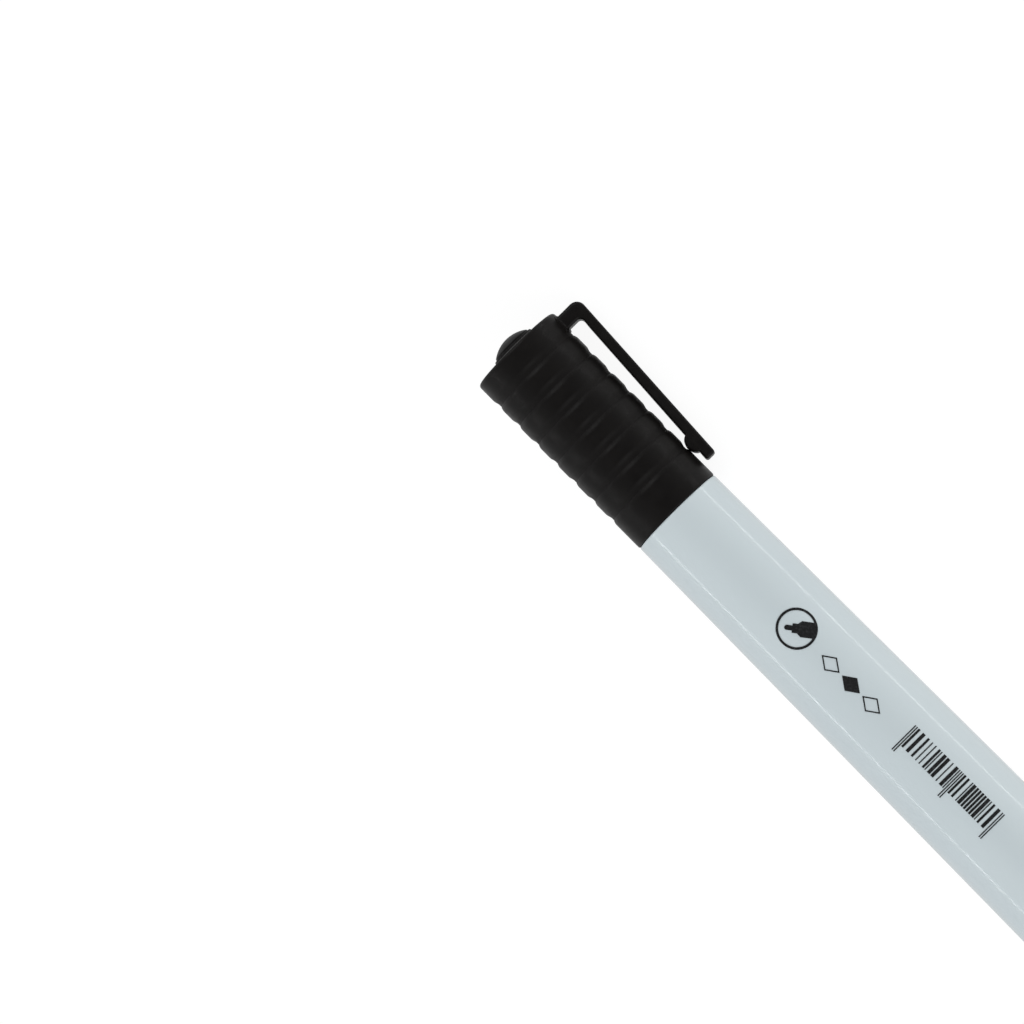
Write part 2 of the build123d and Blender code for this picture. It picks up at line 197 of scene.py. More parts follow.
class Surface(Wiring):
    """The node tree of one material, with a Principled shader and Object coordinates."""

    def __init__(self, name: str) -> None:
        """Makes the material and its output, shader and coordinates."""
        self.material = bpy.data.materials.new(name)
        self.material.use_nodes = True
        super().__init__(self.material.node_tree)
        self.tree.nodes.clear()
        self.shader = self.add("ShaderNodeBsdfPrincipled")
        self.add("ShaderNodeOutputMaterial", {"Surface": self.shader.outputs[0]})
        self.place = self.add("ShaderNodeTexCoord").outputs["Object"]

    def fixed(self, **values: float) -> None:
        """Sets numbers that are the same all over the surface on the shader's own sockets."""
        for name, value in values.items():
            self.shader.inputs[name.replace("_", " ")].default_value = value

    def stretched(self, along: float, across: float) -> bpy.types.NodeSocket:
        """Coordinates for a pattern that is longer along the marker's axis than across it.

        Args:
            along: Scale along the axis.
            across: Scale in the other two directions.

        Returns:
            The scaled coordinates.
        """
        node = self.add(
            "ShaderNodeMapping", {"Vector": self.place, "Scale": (along, across, across)}
        )
        return node.outputs[0]

    def cloud(
        self, scale: float, detail: float = 3.0, place: Any = None, rough: float = 0.55
    ) -> bpy.types.NodeSocket:
        """A soft random pattern between 0 and 1.

        Args:
            scale: Features for each metre.
            detail: Octaves.
            place: Coordinates, or None for plain Object coordinates.
            rough: How strong the fine octaves are.

        Returns:
            The pattern's value.
        """
        feeds = {
            "Vector": place or self.place, "Scale": scale, "Detail": detail, "Roughness": rough
        }
        return self.add("ShaderNodeTexNoise", feeds).outputs["Fac"]

    def cells(self, scale: float, place: Any = None) -> bpy.types.NodeSocket:
        """Distance to the nearest of many random points, for pits, flecks and fibre ends."""
        feeds = {"Vector": place or self.place, "Scale": scale}
        return self.add("ShaderNodeTexVoronoi", feeds).outputs["Distance"]

    def hairlines(
        self, scale: float, along: float, across: float, width: float
    ) -> bpy.types.NodeSocket:
        """Long thin scuffs along the axis, 1 on a scuff and 0 elsewhere.

        Args:
            scale: Features for each metre, before stretching.
            along: Stretch along the axis.
            across: Stretch across the axis.
            width: How wide a scuff is, as a share of the pattern's range.

        Returns:
            The mask.
        """
        wave = self.cloud(scale, 2.0, self.stretched(along, across), 0.4)
        off = self.math("ABSOLUTE", self.math("SUBTRACT", wave, 0.5))
        line = self.spread(off, 0.0, width, 1.0, 0.0)
        patches = self.spread(self.cloud(60.0, 1.0), 0.5, 0.62, 0.0, 1.0)
        return self.math("MULTIPLY", line, patches)

    def radius(self) -> bpy.types.NodeSocket:
        """Distance from the marker's axis."""
        parts = self.add("ShaderNodeSeparateXYZ", {0: self.place})
        square = self.math("MULTIPLY", parts.outputs[1], parts.outputs[1])
        total = self.math("MULTIPLY_ADD", parts.outputs[2], parts.outputs[2], square)
        return self.math("SQRT", total)

    def bump(self, *layers: Tuple[Any, float]) -> None:
        """Stacks bumps, each a height between 0 and 1 and its depth in metres."""
        normal = None
        for height, depth in layers:
            feeds = {"Height": height, "Distance": depth, "Strength": 1.0}
            if normal is not None:
                feeds["Normal"] = normal
            normal = self.add("ShaderNodeBump", feeds).outputs[0]
        self.feed(self.shader.inputs["Normal"], normal)

    def finish(
        self, tone: Any, rough: Any, layers: Sequence[Tuple[Any, float]], **values: float
    ) -> bpy.types.Material:
        """Joins up the shader.

        Args:
            tone: The base colour.
            rough: The roughness.
            layers: Bumps, each a height between 0 and 1 and its depth in metres.
            **values: Numbers that are the same all over the surface.

        Returns:
            The finished material.
        """
        self.feed(self.shader.inputs["Base Color"], tone)
        self.feed(self.shader.inputs["Roughness"], rough)
        self.fixed(**values)
        self.bump(*layers)
        return self.material


# ---- Finishes ----


@dataclass(frozen=True)
class MouldedPlastic:
    """Injection-moulded plastic: flow clouds, a fine grain, polishing marks and scuffs."""

    name: str
    colour: Colour
    deep_colour: Colour
    roughness: float = 0.3
    gloss: float = 0.5
    grain: float = 5200.0
    grain_depth: float = 2.5e-7
    mark_depth: float = 2.0e-7
    scuff: float = 0.12

    def material(self) -> bpy.types.Material:
        """The finished material."""
        s = Surface(self.name)
        flow = s.cloud(70.0, 4.0, s.stretched(0.35, 1.0))
        fleck = s.spread(s.cells(2600.0), 0.1, 0.2, 1.0, 0.0)
        tone = s.mix(s.spread(flow, 0.3, 0.7, 0.0, 1.0), self.deep_colour, self.colour)
        tone = s.mix(s.math("MULTIPLY", fleck, 0.06), tone, self.deep_colour, "MULTIPLY")
        grain = s.cloud(self.grain, 3.0)
        marks = s.cloud(900.0, 3.0, s.stretched(0.03, 1.6))
        scuffs = s.hairlines(260.0, 0.12, 2.2, 0.012)
        rough = s.spread(
            s.cloud(420.0, 4.0), 0.3, 0.7, self.roughness * 0.88, self.roughness * 1.14
        )
        rough = s.math("MULTIPLY_ADD", scuffs, self.scuff, rough)
        rough = s.math("MULTIPLY_ADD", s.math("SUBTRACT", grain, 0.5), 0.1 * self.roughness, rough)
        return s.finish(
            tone,
            rough,
            [(marks, self.mark_depth), (grain, self.grain_depth), (scuffs, -8.0e-7)],
            IOR=1.5,
            Specular_IOR_Level=self.gloss,
        )


@dataclass(frozen=True)
class GripPlastic:
    """The cap's satin plastic: dull in the grip valleys, smoother on the crests."""

    name: str
    colour: Colour
    worn_colour: Colour
    crest_radius: float
    valley_depth: float
    roughness: float = 0.4
    gloss: float = 0.13

    def material(self) -> bpy.types.Material:
        """The finished material."""
        s = Surface(self.name)
        low = self.crest_radius - self.valley_depth
        crest = s.spread(s.radius(), low, self.crest_radius, 0.0, 1.0)
        patch = s.cloud(260.0, 4.0)
        grain = s.cloud(6200.0, 3.0)
        pits = s.spread(s.cells(3400.0), 0.05, 0.35, 0.0, 1.0)
        scuffs = s.hairlines(240.0, 0.2, 2.4, 0.014)
        tone = s.mix(s.spread(patch, 0.35, 0.75, 0.0, 0.75), self.colour, self.worn_colour)
        tone = s.mix(s.math("MULTIPLY", scuffs, 0.35), tone, self.worn_colour)
        valley = s.math("SUBTRACT", 1.0, crest)
        rough = s.spread(
            s.cloud(700.0, 4.0), 0.3, 0.7, self.roughness * 0.88, self.roughness * 1.12
        )
        rough = s.math("MULTIPLY_ADD", valley, 0.12, rough)
        rough = s.math("MULTIPLY_ADD", scuffs, 0.08, rough)
        return s.finish(
            tone,
            rough,
            [(grain, 2.2e-6), (pits, 1.4e-6), (scuffs, -1.0e-6)],
            IOR=1.5,
            Specular_IOR_Level=self.gloss,
        )


@dataclass(frozen=True)
class BlackFelt:
    """Pressed and bonded fibre, soaked with ink: mottled, matt, with fibres along the rod."""

    name: str = "inked_felt"
    dark: Colour = (0.006, 0.0045, 0.0045, 1.0)
    light: Colour = (0.034, 0.029, 0.028, 1.0)
    warm: Colour = (0.03, 0.014, 0.014, 1.0)

    def material(self) -> bpy.types.Material:
        """The finished material."""
        s = Surface(self.name)
        fibres = s.cloud(2600.0, 4.0, s.stretched(0.22, 1.0), 0.65)
        mottle = s.cloud(1500.0, 4.0)
        ends = s.spread(s.cells(4200.0, s.stretched(0.5, 1.0)), 0.1, 0.7, 0.0, 1.0)
        tone = s.mix(s.spread(mottle, 0.35, 0.68, 0.0, 1.0), self.dark, self.light)
        tone = s.mix(s.spread(s.cloud(900.0, 2.0), 0.55, 0.75, 0.0, 0.6), tone, self.warm)
        tone = s.mix(s.spread(fibres, 0.35, 0.65, 0.5, 0.0), tone, self.dark)
        return s.finish(
            tone,
            s.spread(fibres, 0.3, 0.7, 0.95, 0.72),
            [(fibres, 2.4e-5), (ends, 1.2e-5)],
            IOR=1.45,
            Specular_IOR_Level=0.25,
            Sheen_Weight=0.25,
            Sheen_Roughness=0.5,
        )


@dataclass(frozen=True)
class FibreBundle:
    """The reservoir's parallel fibres, seen from their sides and their cut ends."""

    name: str = "reservoir_fibre"
    pale: Colour = (0.16, 0.16, 0.18, 1.0)
    soaked: Colour = (0.012, 0.011, 0.014, 1.0)

    def material(self) -> bpy.types.Material:
        """The finished material."""
        s = Surface(self.name)
        strands = s.cloud(3200.0, 3.0, s.stretched(0.02, 1.0), 0.6)
        wicking = s.cloud(120.0, 3.0, s.stretched(0.2, 1.0))
        tone = s.mix(s.spread(wicking, 0.42, 0.6, 0.0, 1.0), self.soaked, self.pale)
        tone = s.mix(s.spread(strands, 0.35, 0.65, 0.6, 0.0), tone, self.soaked)
        return s.finish(
            tone,
            s.spread(strands, 0.3, 0.7, 0.9, 0.7),
            [(strands, 4.0e-5)],
            IOR=1.45,
            Specular_IOR_Level=0.3,
        )


@dataclass(frozen=True)
class ClearFilm:
    """The thin wrapped film round the reservoir."""

    name: str = "wrapped_film"
    tint: Colour = (0.93, 0.95, 0.96, 1.0)

    def material(self) -> bpy.types.Material:
        """The finished material."""
        s = Surface(self.name)
        wrinkles = s.cloud(240.0, 4.0, s.stretched(0.25, 1.0))
        tone = s.mix(s.spread(wrinkles, 0.3, 0.7, 0.0, 0.3), self.tint, (0.8, 0.84, 0.87, 1.0))
        return s.finish(
            tone,
            s.spread(wrinkles, 0.3, 0.7, 0.08, 0.2),
            [(wrinkles, 2.0e-5)],
            IOR=1.49,
            Transmission_Weight=0.75,
        )


@dataclass(frozen=True)
class PrintingInk:
    """A thin coat of black ink, with pinholes and a slightly uneven tone."""

    name: str = "printing_ink"
    black: Colour = (0.0085, 0.0085, 0.009, 1.0)
    thin: Colour = (0.028, 0.029, 0.031, 1.0)

    def material(self) -> bpy.types.Material:
        """The finished material."""
        s = Surface(self.name)
        cover = s.cloud(3200.0, 4.0)
        tone = s.mix(s.spread(cover, 0.45, 0.75, 0.0, 1.0), self.black, self.thin)
        return s.finish(
            tone,
            s.spread(cover, 0.3, 0.7, 0.34, 0.5),
            [(cover, 1.5e-6)],
            IOR=1.5,
            Specular_IOR_Level=0.2,
        )


@dataclass(frozen=True)
class StudioPaper:
    """The pale, even surface that the marker lies on, lit from below like a light table."""

    name: str = "studio_paper"
    pale: Colour = (0.13, 0.13, 0.13, 1.0)
    paler: Colour = (0.135, 0.135, 0.135, 1.0)
    glow: float = 0.64
    seen_glow: float = 0.92

    def material(self) -> bpy.types.Material:
        """The finished material."""
        s = Surface(self.name)
        s.feed(s.shader.inputs["Base Color"], s.mix(s.cloud(6.0, 2.0), self.pale, self.paler))
        s.feed(s.shader.inputs["Roughness"], s.spread(s.cloud(40.0, 3.0), 0.3, 0.7, 0.85, 0.95))
        s.shader.inputs["Emission Color"].default_value = (1.0, 1.0, 1.0, 1.0)
        direct = s.add("ShaderNodeLightPath").outputs["Is Camera Ray"]
        glow = s.math("MULTIPLY_ADD", direct, self.seen_glow - self.glow, self.glow)
        s.feed(s.shader.inputs["Emission Strength"], glow)
        s.fixed(Specular_IOR_Level=0.1)
        return s.material


# ---- The marker's own directions and sizes, from the frame ----


@dataclass(frozen=True)
class MarkerFrame:
    """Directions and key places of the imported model, in metres."""

    side: Vector
    up: Vector
    shoulder_radius: float
    rear_radius: float
    barrel_rear_x: float
    shoulder_x: float
    rim_x: float
    cap_radius: float
    clip_tip_x: float
    clip_end_x: float
    nib_tip_x: float
    nib_tail_x: float
    nib_radius: float
    rest_rear: Vector
    rest_front: Vector

    @classmethod
    def read(cls, record: Dict[str, Any]) -> "MarkerFrame":
        """Reads the places from the frame.

        Args:
            record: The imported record.

        Returns:
            The marker's directions and places.
        """
        grip = next(m for m in record["mounts"] if m["name"] == "pocket_clip_grip")
        side = Vector(grip["axis"]).normalized()
        up = side.cross(AXIS).normalized()
        barrel_low, barrel_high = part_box("barrel")
        cap_low, cap_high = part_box("cap_shell")
        clip_low, clip_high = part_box("pocket_clip")
        nib_low, nib_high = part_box("nib")
        seat_gap = 0.05 * MM
        rim_x = cap_low.x
        near = 0.01 * MM
        points = [v.co for v in frame["nodes"]["barrel"].data.vertices]
        shoulder = [p for p in points if abs(p.x - (rim_x - seat_gap)) < near]
        shoulder_round = 0.3 * MM
        shoulder_radius = max(math.hypot(p.y, p.z) for p in shoulder) + shoulder_round
        return cls(
            side=side,
            up=up,
            shoulder_radius=shoulder_radius,
            rear_radius=barrel_high.y,
            barrel_rear_x=barrel_low.x,
            shoulder_x=rim_x - seat_gap,
            rim_x=rim_x,
            cap_radius=cap_high.y,
            clip_tip_x=clip_low.x,
            clip_end_x=clip_high.x,
            nib_tip_x=nib_high.x,
            nib_tail_x=nib_low.x,
            nib_radius=nib_high.y,
            rest_rear=Vector((barrel_low.x, 0.0, barrel_low.z)),
            rest_front=Vector((cap_high.x, 0.0, cap_low.z)),
        )

    def point(self, along: float, side: float, up: float) -> Vector:
        """The place that lies so far along the axis, to the clip's side and up from it."""
        return Vector((along, 0.0, 0.0)) + side * self.side + up * self.up

    def turn(self) -> Matrix:
        """Turns meshes drawn as (along, side, up) into the CAD frame."""
        columns = Matrix((AXIS, self.side, self.up)).transposed()
        return columns.to_4x4()


# ---- Mesh helpers ----


def new_object(name: str, data: Any) -> bpy.types.Object:
    """Makes an object and puts it in the scene."""
    made = bpy.data.objects.new(name, data)
    bpy.context.scene.collection.objects.link(made)
    return made


def mesh_object(
    name: str, points: Sequence[Sequence[float]], faces: Sequence[Sequence[int]]
) -> bpy.types.Object:
    """Makes a mesh object and puts it in the scene.

    Args:
        name: The object's name.
        points: Vertices.
        faces: Faces, as vertex numbers.

    Returns:
        The new object.
    """
    mesh = bpy.data.meshes.new(name)
    mesh.from_pydata([tuple(p) for p in points], [], [tuple(f) for f in faces])
    mesh.update()
    return new_object(name, mesh)


def profile_object(name: str, outline: Sequence[Flat]) -> bpy.types.Object:
    """A chain of vertices in the XZ plane, for a tree that reads them in order."""
    mesh = bpy.data.meshes.new(name)
    mesh.from_pydata(
        [(x, 0.0, r) for x, r in outline], [(i, i + 1) for i in range(len(outline) - 1)], []
    )
    return new_object(name, mesh)


def tidy_mesh(piece: bpy.types.Object, sharp_degrees: float, merge: float = MERGE) -> None:
    """Merges doubles, turns faces outwards and smooths all but the sharp edges.

    Args:
        piece: The object to finish.
        sharp_degrees: Edges that turn more than this stay sharp.
        merge: Distance under which vertices are merged, in metres.
    """
    bm = bmesh.new()
    bm.from_mesh(piece.data)
    bmesh.ops.remove_doubles(bm, verts=bm.verts, dist=merge)
    bmesh.ops.recalc_face_normals(bm, faces=bm.faces)
    bm.to_mesh(piece.data)
    bm.free()
    piece.data.shade_smooth()
    piece.data.set_sharp_from_angle(angle=math.radians(sharp_degrees))


def arc(centre: Flat, radius: float, start: float, end: float, steps: int) -> List[Flat]:
    """Points on an arc.

    Args:
        centre: The arc's centre.
        radius: Its radius.
        start: First angle, in degrees.
        end: Last angle, in degrees.
        steps: Number of stretches.

    Returns:
        The points, both ends included.
    """
    turns = [math.radians(start + (end - start) * i / steps) for i in range(steps + 1)]
    return [(centre[0] + radius * math.cos(a), centre[1] + radius * math.sin(a)) for a in turns]


def between(start: Flat, end: Flat, steps: int) -> List[Flat]:
    """Points on a straight line, without its last point."""
    spans = [i / steps for i in range(steps)]
    return [(start[0] + (end[0] - start[0]) * t, start[1] + (end[1] - start[1]) * t) for t in spans]


# ---- Geometry Nodes ----


class GrowingTree(Wiring):
    """A Geometry Nodes tree with named inputs, and the way to run it on an object."""

    def __init__(self, name: str, inputs: Sequence[Tuple[str, str, Any]]) -> None:
        """Makes the tree's interface.

        Args:
            name: The tree's name.
            inputs: Name, kind of socket (Float, Int, Vector, Material or Object) and default.
        """
        super().__init__(bpy.data.node_groups.new(name, "GeometryNodeTree"))
        faces = self.tree.interface
        faces.new_socket(name="Geometry", in_out="INPUT", socket_type="NodeSocketGeometry")
        for label, kind, default in inputs:
            socket = faces.new_socket(name=label, in_out="INPUT", socket_type="NodeSocket" + kind)
            if default is not None:
                socket.default_value = default
        faces.new_socket(name="Geometry", in_out="OUTPUT", socket_type="NodeSocketGeometry")
        self.given = self.add("NodeGroupInput").outputs

    def finish(self, geometry: bpy.types.NodeSocket) -> None:
        """Ends the tree: real geometry with its material set."""
        real = self.add("GeometryNodeRealizeInstances", {0: geometry})
        feeds = {"Geometry": real.outputs[0], "Material": self.given["Material"]}
        dressed = self.add("GeometryNodeSetMaterial", feeds)
        self.add("NodeGroupOutput", {0: dressed.outputs[0]})

    def vector(self, x: Any, y: Any, z: Any) -> bpy.types.NodeSocket:
        """Joins three values to a vector."""
        return self.add("ShaderNodeCombineXYZ", {0: x, 1: y, 2: z}).outputs[0]

    def grow(self, source: bpy.types.Object, values: Dict[str, Any]) -> bpy.types.Object:
        """Runs the tree on an object and keeps the result as the object's own plain mesh.

        Args:
            source: The object that the tree starts from.
            values: The tree's inputs, by name.

        Returns:
            The same object, with its new mesh and no modifier.
        """
        modifier = source.modifiers.new(self.tree.name, "NODES")
        modifier.node_group = self.tree
        for item in self.tree.interface.items_tree:
            if item.in_out == "INPUT" and item.name in values:
                modifier[item.identifier] = values[item.name]
        ready = source.evaluated_get(bpy.context.evaluated_depsgraph_get())
        mesh = bpy.data.meshes.new_from_object(ready)
        source.modifiers.remove(modifier)
        mesh.name = source.name
        source.data = mesh
        return source


def turned_tree() -> GrowingTree:
    """A tree that turns an outline about the X axis, as on a lathe.

    Returns:
        The tree. Its outline is the source's vertices in order, each (x, 0, radius).
    """
    tree = GrowingTree("turned", [("Segments", "Int", 96), ("Material", "Material", None)])
    given = tree.given
    count = tree.add(
        "GeometryNodeAttributeDomainSize", {0: given["Geometry"]}
    ).outputs["Point Count"]
    around = tree.math("ADD", given["Segments"], 1.0)
    grid = tree.add("GeometryNodeMeshGrid", {"Vertices X": count, "Vertices Y": around})
    index = tree.add("GeometryNodeInputIndex").outputs[0]
    row = tree.math("FLOOR", tree.math("DIVIDE", tree.math("ADD", index, 0.5), around))
    step = tree.math("SUBTRACT", index, tree.math("MULTIPLY", row, around))
    angle = tree.math("MULTIPLY", tree.math("DIVIDE", step, given["Segments"]), math.tau)
    place = tree.add("GeometryNodeInputPosition").outputs[0]
    sample = tree.add("GeometryNodeSampleIndex", data_type="FLOAT_VECTOR")
    tree.feed(sample.inputs["Geometry"], given["Geometry"])
    tree.feed(next(i for i in sample.inputs if i.name == "Value" and i.enabled), place)
    tree.feed(sample.inputs["Index"], row)
    drawn = tree.add("ShaderNodeSeparateXYZ", {0: sample.outputs[0]}).outputs
    side = tree.math("MULTIPLY", drawn[2], tree.math("COSINE", angle))
    up = tree.math("MULTIPLY", drawn[2], tree.math("SINE", angle))
    moved = tree.add(
        "GeometryNodeSetPosition",
        {"Geometry": grid.outputs[0], "Position": tree.vector(drawn[0], side, up)},
    )
    closed = tree.add(
        "GeometryNodeMergeByDistance", {"Geometry": moved.outputs[0], "Distance": MERGE}
    )
    tree.finish(closed.outputs[0])
    return tree


def wrapped(tree: GrowingTree, flat: bpy.types.NodeSocket) -> bpy.types.NodeSocket:
    """Adds the nodes that give flat art its thickness and lay it round the tapered barrel.

    Args:
        tree: A tree with the inputs that BARREL_INPUTS names.
        flat: Flat geometry: X along the axis, Y the way round the barrel.

    Returns:
        Closed geometry that lies on the barrel.
    """
    given = tree.given
    raised = tree.add(
        "GeometryNodeExtrudeMesh",
        {
            "Mesh": flat,
            "Offset": tree.vector(0.0, 0.0, 1.0),
            "Offset Scale": given["Thickness"],
            "Individual": False,
        },
    )
    under = tree.add("GeometryNodeFlipFaces", {0: flat})
    both = tree.add("GeometryNodeJoinGeometry")
    tree.tree.links.new(raised.outputs[0], both.inputs[0])
    tree.tree.links.new(under.outputs[0], both.inputs[0])
    shut = tree.add("GeometryNodeMergeByDistance", {"Geometry": both.outputs[0], "Distance": MERGE})
    drawn = tree.add(
        "ShaderNodeSeparateXYZ", {0: tree.add("GeometryNodeInputPosition").outputs[0]}
    ).outputs
    back = tree.math("SUBTRACT", given["Shoulder X"], drawn[0])
    surface = tree.math("MULTIPLY_ADD", back, given["Flare"], given["Shoulder Radius"])
    angle = tree.math("DIVIDE", drawn[1], surface)
    height = tree.math("ADD", tree.math("ADD", surface, given["Lift"]), drawn[2])
    side = tree.math("MULTIPLY", height, tree.math("SINE", angle))
    up = tree.math("MULTIPLY", height, tree.math("COSINE", angle))
    laid = tree.add(
        "GeometryNodeSetPosition",
        {"Geometry": shut.outputs[0], "Position": tree.vector(drawn[0], side, up)},
    )
    return laid.outputs[0]


BARREL_INPUTS = [
    ("Shoulder X", "Float", 0.0),
    ("Shoulder Radius", "Float", 0.0),
    ("Flare", "Float", 0.0),
    ("Lift", "Float", 0.0),
    ("Thickness", "Float", 0.0),
    ("Material", "Material", None),
]


def wrap_tree() -> GrowingTree:
    """A tree that lays flat art round the barrel."""
    tree = GrowingTree("laid_on_barrel", BARREL_INPUTS)
    tree.finish(wrapped(tree, tree.given["Geometry"]))
    return tree


def bar_row_tree() -> GrowingTree:
    """A tree that prints a row of upright bars of random widths, with longer guard bars.

    Returns:
        The tree. Widths and gaps are whole numbers of modules, drawn with a fixed seed, and the row
        is scaled to the length asked for.
    """
    extra = [
        ("Bars", "Int", 30),
        ("Row Start", "Float", 0.0),
        ("Row Length", "Float", 0.02),
        ("Bar Top", "Float", 0.003),
        ("Bar Foot", "Float", -0.001),
        ("Guard Foot", "Float", -0.0025),
        ("Seed", "Int", 4),
    ]
    tree = GrowingTree("bar_row", [*extra, *BARREL_INPUTS])
    given = tree.given
    line = tree.add("GeometryNodeMeshLine", {"Count": given["Bars"], "Offset": (0.0, 0.0, 0.0)})
    index = tree.add("GeometryNodeInputIndex").outputs[0]

    def whole(low: int, high: int, shift: float) -> bpy.types.NodeSocket:
        """A random whole number for each bar."""
        seed = tree.math("ADD", given["Seed"], shift)
        node = tree.add("FunctionNodeRandomValue", data_type="INT")
        tree.feed(node.inputs[4], low)
        tree.feed(node.inputs[5], high)
        tree.feed(node.inputs["ID"], index)
        tree.feed(node.inputs["Seed"], seed)
        return node.outputs[2]

    last = tree.math("SUBTRACT", given["Bars"], 1.0)
    middle = tree.math("DIVIDE", last, 2.0)
    end_bar = tree.math(
        "MAXIMUM",
        tree.math("LESS_THAN", index, 1.5),
        tree.math("GREATER_THAN", index, tree.math("SUBTRACT", last, 1.5)),
    )
    centre_bar = tree.math(
        "LESS_THAN", tree.math("ABSOLUTE", tree.math("SUBTRACT", index, middle)), 1.0
    )
    guard = tree.math("MAXIMUM", end_bar, centre_bar)
    loose = tree.math("SUBTRACT", 1.0, guard)
    width = tree.math("MULTIPLY_ADD", loose, tree.math("SUBTRACT", whole(1, 3, 0.0), 1.0), 1.0)
    gap = tree.math("MULTIPLY_ADD", loose, tree.math("SUBTRACT", whole(1, 3, 1.0), 1.0), 1.0)
    pair = tree.math("ADD", width, gap)
    run = tree.add("GeometryNodeAccumulateField", {0: pair}, data_type="FLOAT")
    reach = tree.math("SUBTRACT", run.outputs["Total"], 1.0)
    module = tree.math("DIVIDE", given["Row Length"], reach)
    start = tree.math(
        "MULTIPLY", tree.math("MULTIPLY_ADD", width, 0.5, run.outputs["Trailing"]), module
    )
    foot = tree.math(
        "MULTIPLY_ADD",
        guard,
        tree.math("SUBTRACT", given["Guard Foot"], given["Bar Foot"]),
        given["Bar Foot"],
    )
    centre = tree.math("MULTIPLY", tree.math("ADD", given["Bar Top"], foot), 0.5)
    place = tree.vector(tree.math("SUBTRACT", given["Row Start"], start), centre, 0.0)
    set_out = tree.add("GeometryNodeSetPosition", {"Geometry": line.outputs[0], "Position": place})
    bar = tree.add(
        "GeometryNodeMeshGrid", {"Size X": 1.0, "Size Y": 1.0, "Vertices X": 2, "Vertices Y": 14}
    )
    size = tree.vector(
        tree.math("MULTIPLY", width, module), tree.math("SUBTRACT", given["Bar Top"], foot), 1.0
    )
    kept_size = tree.add(
        "GeometryNodeStoreNamedAttribute",
        {"Geometry": set_out.outputs[0], "Name": "bar_size"},
        data_type="FLOAT_VECTOR",
        domain="POINT",
    )
    tree.feed(kept_size.inputs["Value"], size)
    read_size = tree.add(
        "GeometryNodeInputNamedAttribute", {"Name": "bar_size"}, data_type="FLOAT_VECTOR"
    )
    bars = tree.add(
        "GeometryNodeInstanceOnPoints",
        {
            "Points": kept_size.outputs[0],
            "Instance": bar.outputs[0],
            "Scale": read_size.outputs["Attribute"],
        },
    )
    real = tree.add("GeometryNodeRealizeInstances", {0: bars.outputs[0]})
    tree.finish(wrapped(tree, real.outputs[0]))
    return tree


def nap_tree() -> GrowingTree:
    """A tree that lays short loose fibres on a surface.

    Returns:
        The tree. Fibres are scattered with a fixed seed, only in front of Start X, and each is
        a thin bent thread of a few faces.
    """
    tree = GrowingTree(
        "fibre_nap",
        [
            ("Density", "Float", 1000.0),
            ("Start X", "Float", 0.0),
            ("Fibre Length", "Float", 0.0005),
            ("Fibre Radius", "Float", 0.00001),
            ("Seed", "Int", 11),
            ("Material", "Material", None),
        ],
    )
    given = tree.given
    place = tree.add("GeometryNodeInputPosition").outputs[0]
    along = tree.add("ShaderNodeSeparateXYZ", {0: place}).outputs[0]
    ahead = tree.add(
        "FunctionNodeCompare",
        {0: along, 1: given["Start X"]},
        data_type="FLOAT",
        operation="GREATER_THAN",
    )
    scatter = tree.add(
        "GeometryNodeDistributePointsOnFaces",
        {
            "Mesh": given["Geometry"],
            "Selection": ahead.outputs[0],
            "Density": given["Density"],
            "Seed": given["Seed"],
        },
    )
    bend = tree.add("GeometryNodeCurvePrimitiveBezierSegment", {"Resolution": 4}, mode="POSITION")
    half = tree.math("MULTIPLY", given["Fibre Length"], 0.5)
    back = tree.math("MULTIPLY", half, -1.0)
    low = tree.math("MULTIPLY", given["Fibre Radius"], -0.8)
    high = tree.math("MULTIPLY", given["Fibre Radius"], 2.2)
    tree.feed(bend.inputs["Start"], tree.vector(back, 0.0, low))
    tree.feed(bend.inputs["Start Handle"], tree.vector(tree.math("MULTIPLY", back, 0.4), 0.0, high))
    tree.feed(
        bend.inputs["End Handle"],
        tree.vector(tree.math("MULTIPLY", half, 0.4), tree.math("MULTIPLY", half, 0.5), high),
    )
    tree.feed(bend.inputs["End"], tree.vector(half, tree.math("MULTIPLY", half, 0.4), low))
    thread = tree.add(
        "GeometryNodeCurvePrimitiveCircle",
        {"Resolution": 4, "Radius": given["Fibre Radius"]},
        mode="RADIUS",
    )
    tube = tree.add(
        "GeometryNodeCurveToMesh",
        {"Curve": bend.outputs[0], "Profile Curve": thread.outputs[0], "Fill Caps": True},
    )
    upright = tree.add(
        "FunctionNodeAlignRotationToVector", {"Vector": scatter.outputs["Normal"]}, axis="Z"
    )
    spin = tree.add("FunctionNodeRandomValue", {"Seed": given["Seed"]}, data_type="FLOAT")
    tree.feed(spin.inputs[2], 0.0)
    tree.feed(spin.inputs[3], math.tau)
    turn = tree.add(
        "FunctionNodeAxisAngleToRotation", {"Axis": (0.0, 0.0, 1.0), "Angle": spin.outputs[1]}
    )
    placed = tree.add(
        "FunctionNodeRotateRotation",
        {"Rotation": upright.outputs[0], "Rotate By": turn.outputs[0]},
        rotation_space="LOCAL",
    )
    fibres = tree.add(
        "GeometryNodeInstanceOnPoints",
        {"Points": scatter.outputs[0], "Instance": tube.outputs[0], "Rotation": placed.outputs[0]},
    )
    tree.finish(fibres.outputs[0])
    return tree


# ---- Sub-assemblies ----


@dataclass
class Piece:
    """A finished piece and how it belongs to the object."""

    shape: bpy.types.Object
    body: Body
    slot: Slot
    replaced: Tuple[str, ...] = ()

    def settle(self) -> None:
        """Makes the piece ride on its body and hides the CAD parts that it replaces."""
        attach(self.shape, self.body.value)
        if self.replaced:
            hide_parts(*self.replaced)
        log.info("%s rides on %s", self.shape.name, self.body.value)


